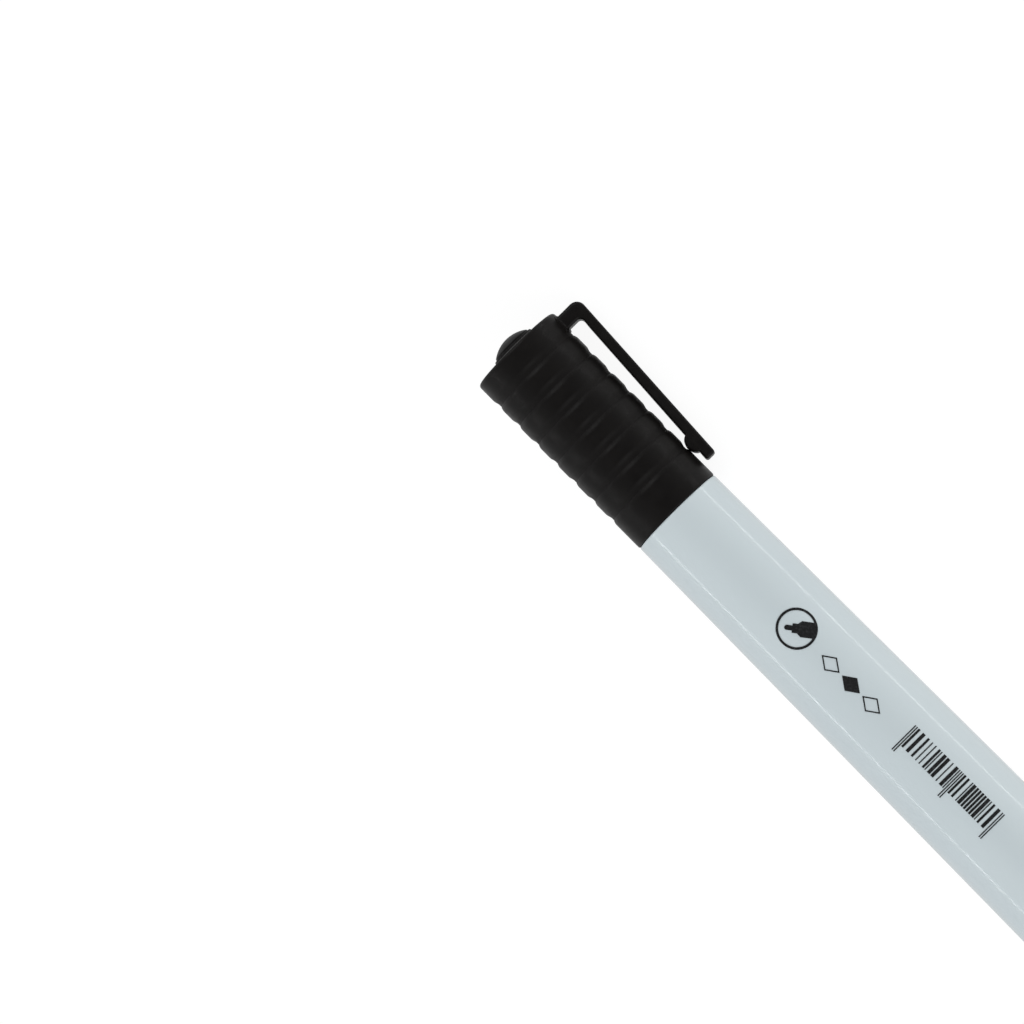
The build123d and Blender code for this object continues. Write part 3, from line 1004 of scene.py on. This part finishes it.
@dataclass
class PrintedMarks:
    """The ink on the barrel: a pictogram, a plain mark and a row of bars."""

    place: MarkerFrame
    ink: bpy.types.Material
    lift: float = 0.004 * MM
    thickness: float = 0.022 * MM
    slice_step: float = 0.3 * MM
    pictogram_back: float = 27.6 * MM
    pictogram_side: float = 0.3 * MM
    pictogram_radius: float = 3.45 * MM
    pictogram_line: float = 0.42 * MM
    mark_back: float = 40.2 * MM
    mark_length: float = 14.0 * MM
    mark_height: float = 2.9 * MM
    mark_line: float = 0.26 * MM
    bars_back: float = 52.2 * MM
    bars_length: float = 20.5 * MM
    bar_count: int = 30
    bar_top: float = 3.0 * MM
    bar_foot: float = -1.1 * MM
    guard_foot: float = -2.6 * MM
    bar_seed: int = 7

    def barrel_inputs(self) -> Dict[str, Any]:
        """The inputs that lay art on the barrel."""
        place = self.place
        length = place.shoulder_x - place.barrel_rear_x
        return {
            "Shoulder X": place.shoulder_x,
            "Shoulder Radius": place.shoulder_radius,
            "Flare": (place.rear_radius - place.shoulder_radius) / length,
            "Lift": self.lift,
            "Thickness": self.thickness,
            "Material": self.ink,
        }

    def flat_art(
        self, name: str, rings: Sequence[Sequence[Flat]], centre: Flat, fill: Fill, line: float
    ) -> bpy.types.Object:
        """Draws flat shapes and slices them, so that they can follow the barrel's round side.

        Args:
            name: The object's name.
            rings: Closed outlines about the art's centre: X towards the cap, Y to the clip's side.
            centre: The art's centre on the unrolled barrel.
            fill: Whether the shapes are filled or drawn as a line.
            line: The line's width, for outlines.

        Returns:
            The flat object.
        """
        bm = bmesh.new()
        for ring in rings:
            corners = [bm.verts.new((x + centre[0], y + centre[1], 0.0)) for x, y in ring]
            if fill is Fill.SOLID:
                bm.faces.new(corners)
                continue
            middle = Vector((centre[0], centre[1], 0.0))
            nearest = min((v.co - middle).length for v in corners)
            share = 1.0 - line / nearest
            inner = [bm.verts.new(middle + (v.co - middle) * share) for v in corners]
            for i in range(len(corners)):
                j = (i + 1) % len(corners)
                bm.faces.new((corners[i], corners[j], inner[j], inner[i]))
        bmesh.ops.triangulate(bm, faces=bm.faces)
        low = min(v.co.y for v in bm.verts)
        high = max(v.co.y for v in bm.verts)
        cuts = int((high - low) / self.slice_step)
        for i in range(1, cuts + 1):
            height = low + i * (high - low) / (cuts + 1)
            whole = [*bm.verts, *bm.edges, *bm.faces]
            bmesh.ops.bisect_plane(
                bm, geom=whole, dist=1e-8, plane_co=(0.0, height, 0.0), plane_no=(0.0, 1.0, 0.0)
            )
        for face in bm.faces:
            face.normal_update()
            if face.normal.z < 0:
                face.normal_flip()
        drawn = mesh_object(name, [], [])
        bm.to_mesh(drawn.data)
        bm.free()
        return drawn

    def tip_silhouette(self) -> List[Flat]:
        """A plain marker tip for the pictogram: round nib, sleeve, cone and the barrel's start."""
        nib_half = 0.42 * MM
        sleeve_half = 0.78 * MM
        barrel_half = 1.32 * MM
        nose = 2.05 * MM
        sleeve = 0.75 * MM
        cone = -0.1 * MM
        barrel = -0.75 * MM
        inside = self.pictogram_radius - self.pictogram_line / 2
        reach = math.sqrt(inside**2 - barrel_half**2)
        upper = [
            *arc((nose - nib_half, 0.0), nib_half, 0.0, 90.0, 8),
            (sleeve, nib_half),
            (sleeve, sleeve_half),
            (cone, sleeve_half),
            (barrel, barrel_half),
            (-reach, barrel_half),
        ]
        half = len(upper)
        outline = upper + [(x, -y) for x, y in reversed(upper[1:half])]
        half_end = 25.0
        end = arc((0.0, 0.0), inside, 180.0 - half_end, 180.0 + half_end, 10)
        back = [p for p in end if abs(p[1]) < barrel_half * 0.98]
        outline = outline[:half] + back + outline[half:]
        lean = math.radians(-38.0)
        cos, sin = math.cos(lean), math.sin(lean)
        return [(x * cos - y * sin, x * sin + y * cos) for x, y in outline]

    def pictogram(self, tree: GrowingTree) -> List[Piece]:
        """The round sign: a ring with a marker tip in it."""
        centre = (self.place.rim_x - self.pictogram_back, self.pictogram_side)
        ring = arc((0.0, 0.0), self.pictogram_radius, 0.0, 360.0, 96)[:-1]
        art = self.flat_art("pictogram_ring", [ring], centre, Fill.OUTLINE, self.pictogram_line)
        tip = self.flat_art("pictogram_tip", [self.tip_silhouette()], centre, Fill.SOLID, 0.0)
        return [
            self.laid(tree, art, self.barrel_inputs()), self.laid(tree, tip, self.barrel_inputs())
        ]

    def plain_mark(self, tree: GrowingTree) -> List[Piece]:
        """Three plain diamonds in a row, the middle one filled."""
        made = []
        wide = self.mark_length / 3
        for number, (step, fill) in enumerate(
            [(-1, Fill.OUTLINE), (0, Fill.SOLID), (1, Fill.OUTLINE)]
        ):
            centre = (self.place.rim_x - self.mark_back + step * wide, self.pictogram_side * 0.5)
            diamond = [
                (wide * 0.44, 0.0),
                (0.0, self.mark_height / 2),
                (-wide * 0.44, 0.0),
                (0.0, -self.mark_height / 2),
            ]
            art = self.flat_art(
                f"mark_diamond_{number + 1}", [diamond], centre, fill, self.mark_line
            )
            made.append(self.laid(tree, art, self.barrel_inputs()))
        return made

    def bar_row(self, tree: GrowingTree) -> Piece:
        """The row of upright bars."""
        source = mesh_object("bar_row", [(0.0, 0.0, 0.0)], [])
        values = {
            **self.barrel_inputs(),
            "Bars": self.bar_count,
            "Row Start": self.place.rim_x - self.bars_back,
            "Row Length": self.bars_length,
            "Bar Top": self.bar_top,
            "Bar Foot": self.bar_foot,
            "Guard Foot": self.guard_foot,
            "Seed": self.bar_seed,
        }
        return self.laid(tree, source, values)

    def laid(self, tree: GrowingTree, art: bpy.types.Object, values: Dict[str, Any]) -> Piece:
        """Grows the art, turns it to the side that faces up and makes it a piece."""
        shape = tree.grow(art, values)
        shape.data.transform(self.place.turn())
        tidy_mesh(shape, 40.0, 1e-8)
        return Piece(shape, Body.MARKER, Slot.INK)

    def build(self) -> List[Piece]:
        """All printed pieces."""
        wrap = wrap_tree()
        return [*self.pictogram(wrap), *self.plain_mark(wrap), self.bar_row(bar_row_tree())]


@dataclass
class FeltNib:
    """The bullet nib, with a fibrous surface and a nap of short loose fibres."""

    place: MarkerFrame
    felt: bpy.types.Material
    ogive_radius: float = 9.3 * MM
    tip_radius: float = 1.0 * MM
    tail_chamfer: float = 0.8 * MM
    shown_start: float = 9.6 * MM
    swell: float = 0.028 * MM
    segments: int = 180
    nap_length: float = 0.42 * MM
    nap_radius: float = 0.011 * MM
    nap_density: float = 4.2e6
    nap_seed: int = 5
    fade: float = 1.5 * MM

    def outline(self) -> List[Flat]:
        """The nib's profile from its tail to its tip, finely divided where it shows."""
        tip_x = self.place.nib_tip_x
        radius = self.place.nib_radius
        tail = self.place.nib_tail_x
        drop = self.ogive_radius - radius
        reach = self.ogive_radius - self.tip_radius
        start_x = tip_x - self.tip_radius - math.sqrt(reach**2 - drop**2)
        turn = math.degrees(math.asin(drop / reach))
        shown_x = tip_x - self.shown_start
        points = [(tail, 0.0)]
        points += between((tail, radius - self.tail_chamfer), (tail + self.tail_chamfer, radius), 2)
        points += between((tail + self.tail_chamfer, radius), (shown_x, radius), 6)
        points += between((shown_x, radius), (start_x, radius), 30)
        points += arc((start_x, -drop), self.ogive_radius, 90.0, turn, 72)[:-1]
        points += arc((tip_x - self.tip_radius, 0.0), self.tip_radius, turn, 0.0, 18)
        return points

    def roughen(self, mesh: bpy.types.Mesh) -> None:
        """Moves the shown surface in by a fibrous, uneven depth, so that it looks like felt."""
        limit = self.place.nib_tip_x - self.shown_start
        places = [v.co.copy() for v in mesh.vertices]
        normals = [v.normal.copy() for v in mesh.vertices]
        for i, (co, normal) in enumerate(zip(places, normals)):
            ahead = min(1.0, max(0.0, (co.x - limit) / self.fade))
            fibre = noise.fractal(Vector((co.x * 900.0, co.y * 4200.0, co.z * 4200.0)), 0.7, 2.0, 3)
            lump = noise.noise(co * 1300.0)
            depth = self.swell * ahead * (0.8 + 0.55 * fibre + 0.5 * lump)
            places[i] = co - normal * max(0.0, depth)
        mesh.vertices.foreach_set("co", [c for co in places for c in co])
        mesh.update()

    def build(self, turned: GrowingTree) -> List[Piece]:
        """The nib and its nap of loose fibres."""
        body = profile_object("nib_felt", self.outline())
        turned.grow(body, {"Segments": self.segments, "Material": self.felt})
        tidy_mesh(body, 60.0)
        self.roughen(body.data)
        nap = mesh_object("nib_nap", [], [])
        nap.data = body.data.copy()
        values = {
            "Density": self.nap_density,
            "Start X": self.place.nib_tip_x - self.shown_start + self.fade,
            "Fibre Length": self.nap_length,
            "Fibre Radius": self.nap_radius,
            "Seed": self.nap_seed,
            "Material": self.felt,
        }
        nap_tree().grow(nap, values)
        tidy_mesh(nap, 180.0, 1e-9)
        return [
            Piece(body, Body.MARKER, Slot.FELT, ("nib",)),
            Piece(nap, Body.MARKER, Slot.FELT),
        ]


@dataclass
class PocketClip:
    """The clip: a foot that grows out of the cap, a leg, a long arm and a grip bump."""

    place: MarkerFrame
    plastic: bpy.types.Material
    width: float = 5.0 * MM
    top_height: float = 4.56 * MM
    tip_height: float = 2.76 * MM
    top_thickness: float = 1.76 * MM
    tip_thickness: float = 1.93 * MM
    leg_length: float = 2.7 * MM
    outer_round: float = 1.6 * MM
    inner_round: float = 0.8 * MM
    edge_round: float = 0.47 * MM
    foot_depth: float = 0.7 * MM
    foot_flare: float = 0.5 * MM
    hinge_height: float = 1.46 * MM
    bump_start: float = 4.3 * MM
    bump_length: float = 3.45 * MM
    bump_dip: float = 0.05 * MM
    bump_fullness: float = 1.3
    bend_half: float = 0.7 * MM
    bend_below: float = 1.0 * MM
    bend_above: float = 1.2 * MM
    side_steps: int = 6
    round_steps: int = 4
    bend_steps: int = 12
    tip_angles: Tuple[float, ...] = (15.0, 30.0, 45.0, 60.0, 75.0, 88.0)

    def share(self, x: float) -> float:
        """How far a place lies from the clip's end to its tip, from 0 to 1."""
        place = self.place
        return (place.clip_end_x - x) / (place.clip_end_x - place.clip_tip_x)

    def outer_height(self, x: float) -> float:
        """Distance from the axis to the arm's outer face."""
        rise = self.share(x) * (self.tip_height - self.top_height)
        return self.place.cap_radius + self.top_height + rise

    def inner_height(self, x: float) -> float:
        """Distance from the axis to the arm's inner face, with the grip bump on it."""
        place = self.place
        thickness = self.top_thickness + self.share(x) * (self.tip_thickness - self.top_thickness)
        plain = self.outer_height(x) - thickness
        lowest = place.cap_radius - self.bump_dip
        middle = place.rim_x + self.bump_start + self.bump_length / 2
        reach = abs(x - middle) / (self.bump_length / 2)
        if reach >= 1.0:
            return plain
        return plain - (plain - lowest) * math.sqrt(max(0.0, 1.0 - reach**2)) ** self.bump_fullness

    def stations(self) -> List[Tuple[Flat, Flat]]:
        """Pairs of (along, height) points on the inner and outer face, from the foot to the tip."""
        place = self.place
        outer_x = place.clip_end_x
        inner_x = place.clip_end_x - self.leg_length
        foot = place.cap_radius - self.foot_depth
        outer_centre = (
            outer_x - self.outer_round,
            self.outer_height(outer_x - self.outer_round) - self.outer_round,
        )
        inner_top = self.inner_height(inner_x)
        inner_centre = (inner_x - self.inner_round, inner_top - self.inner_round)
        pairs = []
        leg_steps = 22
        for i in range(leg_steps):
            t = i / leg_steps
            inner = (inner_x, foot + t * (inner_centre[1] - foot))
            outer = (outer_x, foot + t * (outer_centre[1] - foot))
            pairs.append((inner, outer))
        inner_bend = arc(inner_centre, self.inner_round, 0.0, 90.0, self.bend_steps)
        outer_bend = arc(outer_centre, self.outer_round, 0.0, 90.0, self.bend_steps)
        pairs.extend(zip(inner_bend, outer_bend))
        start_in, start_out = inner_centre[0], outer_centre[0]
        tip = place.clip_tip_x
        for t in self.arm_shares(start_in, tip):
            x_in = start_in + t * (tip - start_in)
            x_out = start_out + t * (tip - start_out)
            pairs.append(((x_in, self.inner_height(x_in)), (x_out, self.outer_height(x_out))))
        return pairs

    def arm_shares(self, start: float, tip: float) -> List[float]:
        """Shares of the arm's length for its stations, close together at the bump and the tip."""
        place = self.place
        bump_far = place.rim_x + self.bump_start + self.bump_length
        bump_near = place.rim_x + self.bump_start
        span = start - tip
        plain_steps, bump_steps, end_steps = 18, 24, 4
        before_bump = 0.2 * MM
        reach = start - bump_far - before_bump
        plain = [(i + 1) / plain_steps * reach for i in range(plain_steps)]
        waves = [1 - math.cos(math.pi * i / bump_steps) for i in range(bump_steps + 1)]
        bump = [start - bump_far + wave / 2 * self.bump_length for wave in waves]
        rest = bump_near - tip - self.edge_round
        end = [start - bump_near + (i + 1) / end_steps * rest for i in range(end_steps)]
        return [d / span for d in [*plain, *bump, *end]]

    def ring(self, inner: Flat, outer: Flat, inset: float) -> List[Tuple[float, float, float]]:
        """A rounded rectangle between two points, as (along, height, across) places.

        Args:
            inner: Point on the inner face.
            outer: Point on the outer face.
            inset: How much smaller the section is on every side.

        Returns:
            The section's corners in order.
        """
        thick = math.hypot(outer[0] - inner[0], outer[1] - inner[1])
        away = ((outer[0] - inner[0]) / thick, (outer[1] - inner[1]) / thick)
        middle = ((inner[0] + outer[0]) / 2, (inner[1] + outer[1]) / 2)
        half_t = thick / 2 - inset
        half_w = self.width / 2 - inset
        radius = max(0.05 * MM, self.edge_round - inset)
        corners = [(1, 1, 0.0), (-1, 1, 90.0), (-1, -1, 180.0), (1, -1, 270.0)]
        flat = []
        for number, (sx, sy, start) in enumerate(corners):
            centre = (sx * (half_t - radius), sy * (half_w - radius))
            bend = arc(centre, radius, start, start + 90.0, self.round_steps)
            flat.extend(bend)
            nx, ny, _ = corners[(number + 1) % 4]
            following = (nx * (half_t - radius), ny * (half_w - radius))
            turn = math.radians(start + 90.0)
            goal = (following[0] + radius * math.cos(turn), following[1] + radius * math.sin(turn))
            steps = self.side_steps if number % 2 == 1 else 3
            flat.extend(between(bend[-1], goal, steps)[1:])
        return [(middle[0] + t * away[0], middle[1] + t * away[1], w) for t, w in flat]

    def flare(self, rings: List[List[Tuple[float, float, float]]], centre_x: float) -> None:
        """Spreads the foot where it meets the shell, like the small fillet of a moulded part.

        Args:
            rings: The sections, which are changed in place.
            centre_x: The leg's middle along the axis.
        """
        shell = self.place.cap_radius
        for section in rings:
            for i, (x, h, w) in enumerate(section):
                above = math.hypot(h, w) - shell
                if above >= self.foot_flare or x < centre_x - 0.75 * self.leg_length:
                    continue
                level = max(0.0, above)
                grow = self.foot_flare - math.sqrt(
                    self.foot_flare**2 - (self.foot_flare - level) ** 2
                )
                dx = (x - centre_x) / (self.leg_length / 2)
                dw = w / (self.width / 2)
                length = math.hypot(dx**3, dw**3) or 1.0
                section[i] = (x + grow * dx**3 / length, h, w + grow * dw**3 / length)

    def build(self) -> Piece:
        """The whole clip as one mesh, which stands in for the CAD clip."""
        place = self.place
        pairs = self.stations()
        rings = [self.ring(inner, outer, 0.0) for inner, outer in pairs]
        centre_x = place.clip_end_x - self.leg_length / 2
        self.flare(rings, centre_x)
        inner, outer = pairs[-1]
        for angle in self.tip_angles:
            ahead = self.edge_round * math.sin(math.radians(angle))
            inset = self.edge_round * (1 - math.cos(math.radians(angle)))
            moved = ((inner[0] - ahead, inner[1]), (outer[0] - ahead, outer[1]))
            rings.append(self.ring(*moved, inset))
        count = len(rings[0])
        points = [Vector((x, h, w)) for section in rings for x, h, w in section]
        faces = []
        for r in range(len(rings) - 1):
            for i in range(count):
                j = (i + 1) % count
                faces.append(
                    (r * count + i, r * count + j, (r + 1) * count + j, (r + 1) * count + i)
                )
        faces.append(tuple(range(count)))
        faces.append(tuple((len(rings) - 1) * count + i for i in range(count)))
        shape = mesh_object("clip_body", points, faces)
        shape.data.transform(place.turn())
        tidy_mesh(shape, 35.0)
        shape.data.materials.append(self.plastic)
        hinge = place.cap_radius + self.hinge_height
        start = place.point(centre_x + self.bend_half, hinge - self.bend_below, 0.0)
        end = place.point(centre_x - self.bend_half, hinge + self.bend_above, 0.0)
        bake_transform(shape)
        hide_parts("pocket_clip")
        log.info("%s bends from %s to %s", shape.name, Body.CAP.value, Body.CLIP.value)
        return shape


@dataclass
class CapShell:
    """The cap's shell: soft grip valleys with a fine line in each, a lip and its vent."""

    place: MarkerFrame
    plastic: bpy.types.Material
    length: float = 37.4 * MM
    bore_radius: float = 7.22 * MM
    floor_radius: float = 6.92 * MM
    end_wall: float = 1.5 * MM
    neck_length: float = 8.15 * MM
    vent_radius: float = 3.73 * MM
    lip_width: float = 0.3 * MM
    lip_flare: float = 0.15 * MM
    lip_height: float = 0.4 * MM
    lip_foot_rise: float = 0.06 * MM
    lip_foot_share: float = 0.55
    end_dome: float = 0.36 * MM
    end_round: float = 0.57 * MM
    rim_round: float = 0.3 * MM
    small_round: float = 0.1 * MM
    valleys: int = 7
    first_valley: float = 6.6 * MM
    valley_pitch: float = 4.355 * MM
    valley_half_width: float = 1.22 * MM
    valley_depth: float = 0.25 * MM
    crease_shift: float = -0.38 * MM
    crease_half_width: float = 0.22 * MM
    crease_depth: float = 0.06 * MM
    segments: int = 160

    def valley(self, middle: float) -> List[Flat]:
        """One grip valley, from its far to its near edge, with a fine line on the rim's side."""
        crest = self.place.cap_radius
        points = []
        steps = 24
        marks = [-1 + 2 * i / steps for i in range(steps + 1)]
        shift, half = self.crease_shift, self.crease_half_width
        fine = [(shift + half * k / 4) / self.valley_half_width for k in range(-4, 5)]
        for share in sorted({round(m, 6) for m in [*marks, *fine]}, reverse=True):
            off = share * self.valley_half_width
            dip = self.valley_depth * math.cos(share * math.pi / 2) ** 2
            line = max(0.0, 1.0 - abs(off - self.crease_shift) / self.crease_half_width)
            points.append((middle + off, crest - dip - self.crease_depth * line))
        return points

    def outline(self) -> List[Flat]:
        """The shell's closed profile: from the far end to the rim, then back up the bore."""
        place = self.place
        end, crest, rim = place.rim_x + self.length, place.cap_radius, place.rim_x
        lip_radius = self.vent_radius + self.lip_width
        lip_foot, lip_top = end + self.end_dome, end + self.end_dome + self.lip_height
        small = self.small_round
        points = [(end - self.end_wall, self.vent_radius), (lip_top - small, self.vent_radius)]
        points += arc((lip_top - small, self.vent_radius + small), small, -90.0, 0.0, 5)[1:]
        points += arc((lip_top - small, lip_radius - small), small, 0.0, 90.0, 5)
        points += [
            (lip_foot + self.lip_foot_rise, lip_radius + self.lip_foot_share * self.lip_flare),
            (lip_foot, lip_radius + self.lip_flare),
        ]
        slope = math.degrees(math.atan2(self.end_dome, crest - lip_radius - self.lip_flare))
        points += arc(
            (end - self.end_round, crest - self.end_round), self.end_round, slope, 90.0, 14
        )
        for number in reversed(range(self.valleys)):
            points += self.valley(rim + self.first_valley + number * self.valley_pitch)
        points += arc(
            (rim + self.rim_round, crest - self.rim_round), self.rim_round, 90.0, 180.0, 8
        )
        points += arc(
            (rim + self.rim_round, self.bore_radius + self.rim_round),
            self.rim_round,
            180.0,
            270.0,
            8,
        )
        points += [
            (rim + self.neck_length, self.bore_radius), (end - self.end_wall, self.floor_radius)
        ]
        return [*points, points[0]]

    def build(self, turned: GrowingTree) -> Piece:
        """The turned shell."""
        shape = profile_object("cap_ribbed_shell", self.outline())
        turned.grow(shape, {"Segments": self.segments, "Material": self.plastic})
        tidy_mesh(shape, 32.0)
        return Piece(shape, Body.CAP, Slot.CAP, ("cap_shell",))


@dataclass
class CarriedParts:
    """The CAD nodes that stay, and the finish of each."""

    finishes: Dict[str, bpy.types.Material] = field(default_factory=dict)

    def dress(self) -> None:
        """Gives every node its finish."""
        for name, material in self.finishes.items():
            node = frame["nodes"][name]
            node.data.materials.clear()
            node.data.materials.append(material)
            log.info("%s keeps its CAD mesh, finish %s", name, material.name)


# ---- Studio ----


@dataclass
class Studio:
    """Pale floor, soft light and the camera."""

    place: MarkerFrame
    floor_half: float = 3.0
    distance: float = 1.4
    pixels_per_metre: float = 6130.0
    frame_pixels: float = 1024.0
    sensor: float = 36.0
    tilt: float = 3.75
    turn: float = 45.25
    aim_right: float = -26.9 * MM
    aim_up: float = -0.07 * MM
    strip_angle: float = 80.5
    strip_distance: float = 0.5
    strip_length: float = 1.6
    strip_width: float = 0.018
    strip_power: float = 0.8
    box_power: float = 5.9
    box_size: float = 0.9
    box_height: float = 1.05
    box_reach: float = 1.0
    side_light: Tuple[float, ...] = (0.0, 0.9, 0.23, 0.66)
    end_light: Tuple[float, ...] = (0.68, 0.98, 0.0, 0.45)
    near_strip_side: float = 30.2 * MM
    near_strip_up: float = 10.75 * MM
    near_strip_length: float = 0.3
    near_strip_width: float = 0.0009
    near_strip_power: float = 0.007
    near_line_side: float = 0.645
    near_line_up: float = 0.764

    def floor(self) -> None:
        """The surface that the marker rests on, along the barrel's rear edge and the cap's end."""
        rear, front = self.place.rest_rear, self.place.rest_front
        slope = (front.z - rear.z) / (front.x - rear.x)
        half = self.floor_half
        corners = [(-half, -half), (half, -half), (half, half), (-half, half)]
        middle = (rear.x + front.x) / 2
        points = [(x + middle, y, rear.z + (x + middle - rear.x) * slope) for x, y in corners]
        ground = mesh_object("floor", points, [(0, 1, 2, 3)])
        ground.data.materials.append(StudioPaper().material())
        ground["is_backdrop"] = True

    def sky(self) -> None:
        """Even light from all round, weaker where the camera stands, as in a light tent."""
        world = bpy.data.worlds.new("light_tent")
        bpy.context.scene.world = world
        world.use_nodes = True
        world.node_tree.nodes.clear()
        w = Wiring(world.node_tree)
        way = w.add("ShaderNodeTexCoord").outputs["Generated"]
        parts = []
        for direction, levels in ((self.place.side, self.side_light), (AXIS, self.end_light)):
            dot = w.add("ShaderNodeVectorMath", {0: way, 1: direction}, operation="DOT_PRODUCT")
            parts.append(w.spread(w.math("ABSOLUTE", dot.outputs["Value"]), *levels))
        level = w.math("ADD", *parts)
        light = w.add("ShaderNodeBackground", {"Color": (0.97, 0.985, 1.0, 1.0), "Strength": level})
        seen = w.add("ShaderNodeBackground", {"Color": (0.97, 0.98, 0.99, 1.0), "Strength": 1.0})
        direct = w.add("ShaderNodeLightPath").outputs["Is Camera Ray"]
        both = w.add("ShaderNodeMixShader", {0: direct, 1: light.outputs[0], 2: seen.outputs[0]})
        w.add("ShaderNodeOutputWorld", {0: both.outputs[0]})

    def lamp(
        self, name: str, spot: Vector, goal: Vector, size: Flat, power: float
    ) -> bpy.types.Object:
        """A soft box that faces a point, its long side along the marker.

        Args:
            name: The light's name.
            spot: Where it stands.
            goal: What it faces.
            size: Its length along the marker and its width.
            power: Its power in watts.

        Returns:
            The light.
        """
        data = bpy.data.lights.new(name, "AREA")
        data.shape = "RECTANGLE"
        data.size, data.size_y = size
        data.energy = power
        lamp = new_object(name, data)
        back = (spot - goal).normalized()
        along = (AXIS - back * back.x).normalized()
        turn = Matrix((along, back.cross(along), back)).transposed().to_4x4()
        lamp.matrix_world = Matrix.Translation(spot) @ turn
        return lamp

    def lights(self) -> None:
        """A soft box above each end, and two thin strips that draw lines on the plastic.

        The strips light the marker too, and nothing but the marker.
        """
        place = self.place
        middle = Vector(((place.rim_x + place.barrel_rear_x) / 2, 0.0, 0.0))
        for name, sense in (("soft_box_cap_end", 1.0), ("soft_box_rear_end", -1.0)):
            spot = middle + place.up * self.box_height + AXIS * (sense * self.box_reach)
            self.lamp(name, spot, middle, (self.box_size, self.box_size), self.box_power)
        shown = bpy.data.collections.new("strip_lit")
        for node in {*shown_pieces(), *frame["nodes"].values()}:
            shown.objects.link(node)
        angle = math.radians(self.strip_angle)
        far = middle + (
            math.cos(angle) * place.up - math.sin(angle) * place.side
        ) * self.strip_distance
        near = middle + self.near_strip_side * place.side + self.near_strip_up * place.up
        across = self.near_line_side * place.side + self.near_line_up * place.up
        line = middle + place.shoulder_radius * across
        far_size = (self.strip_length, self.strip_width)
        near_size = (self.near_strip_length, self.near_strip_width)
        strips = [
            self.lamp("strip_far_side", far, middle, far_size, self.strip_power),
            self.lamp("strip_clip_side", near, line, near_size, self.near_strip_power),
        ]
        for strip in strips:
            strip.light_linking.receiver_collection = shown
            strip.light_linking.blocker_collection = shown
            strip.visible_camera = False

    def camera(self) -> None:
        """The camera, with the marker lying from the picture's upper left to its lower right."""
        place = self.place
        tilt, turn = math.radians(self.tilt), math.radians(self.turn)
        back = math.cos(tilt) * place.up - math.sin(tilt) * AXIS
        along = math.cos(tilt) * AXIS + math.sin(tilt) * place.up
        right = math.sin(turn) * place.side - math.cos(turn) * along
        up = math.cos(turn) * place.side + math.sin(turn) * along
        aim = Vector((place.rim_x, 0.0, 0.0)) + self.aim_right * right + self.aim_up * up
        data = bpy.data.cameras.new("camera")
        data.sensor_width = self.sensor
        data.lens = self.pixels_per_metre * self.distance * self.sensor / self.frame_pixels
        data.clip_start, data.clip_end = 0.05, 20.0
        camera = new_object("camera", data)
        turn_matrix = Matrix((right, up, back)).transposed().to_4x4()
        camera.matrix_world = Matrix.Translation(aim + back * self.distance) @ turn_matrix
        bpy.context.scene.camera = camera

    def build(self) -> None:
        """Everything round the marker."""
        bpy.context.scene.view_settings.view_transform = "Standard"
        self.floor()
        self.sky()
        self.lights()
        self.camera()


def dress_frame(place: MarkerFrame) -> Dict[str, bpy.types.Material]:
    """Makes the finishes and puts them on the CAD nodes that stay.

    Args:
        place: The marker's directions and sizes.

    Returns:
        The finishes that the new pieces share, by name.
    """
    pale = MouldedPlastic(
        "pale_plastic",
        (0.615, 0.686, 0.708, 1.0),
        (0.599, 0.67, 0.695, 1.0),
        roughness=0.13,
        gloss=0.36,
    )
    plug = MouldedPlastic(
        "plug_plastic", (0.51, 0.58, 0.6, 1.0), (0.495, 0.565, 0.59, 1.0), roughness=0.36
    )
    seal = MouldedPlastic(
        "seal_plastic", (
            0.0038, 0.0032, 0.0029, 1.0
        ), (0.0028, 0.0024, 0.0022, 1.0), roughness=0.42, gloss=0.13
    )
    cap = GripPlastic(
        "cap_plastic",
        (0.0036, 0.0029, 0.0026, 1.0),
        (0.0060, 0.0050, 0.0045, 1.0),
        place.cap_radius,
        CapShell.valley_depth,
    )
    made = {
        "pale": pale.material(),
        "plug": plug.material(),
        "seal": seal.material(),
        "cap": cap.material(),
        "felt": BlackFelt().material(),
        "ink": PrintingInk().material(),
    }
    kept = CarriedParts(
        {
            "barrel": made["pale"],
            "nib_holder": made["pale"],
            "end_plug": made["plug"],
            "cap_inner_seal": made["seal"],
            "cap_shell": made["cap"],
            "ink_reservoir": FibreBundle().material(),
            "reservoir_film": ClearFilm().material(),
            "nib": made["felt"],
            "pocket_clip": made["cap"],
        }
    )
    kept.dress()
    return made


def main() -> None:
    """Builds the marker's looks in order and reports each piece."""
    logging.basicConfig(level=logging.INFO, format="%(name)s: %(message)s")
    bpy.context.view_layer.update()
    place = MarkerFrame.read(frame["record"])
    made = dress_frame(place)
    turned = turned_tree()
    pieces = [
        *FeltNib(place, made["felt"]).build(turned),
        *PrintedMarks(place, made["ink"]).build(),
        CapShell(place, made["cap"]).build(turned),
    ]
    for piece in pieces:
        piece.settle()
    PocketClip(place, made["cap"]).build()
    Studio(place).build()


if __name__ == "__main__":
    main()
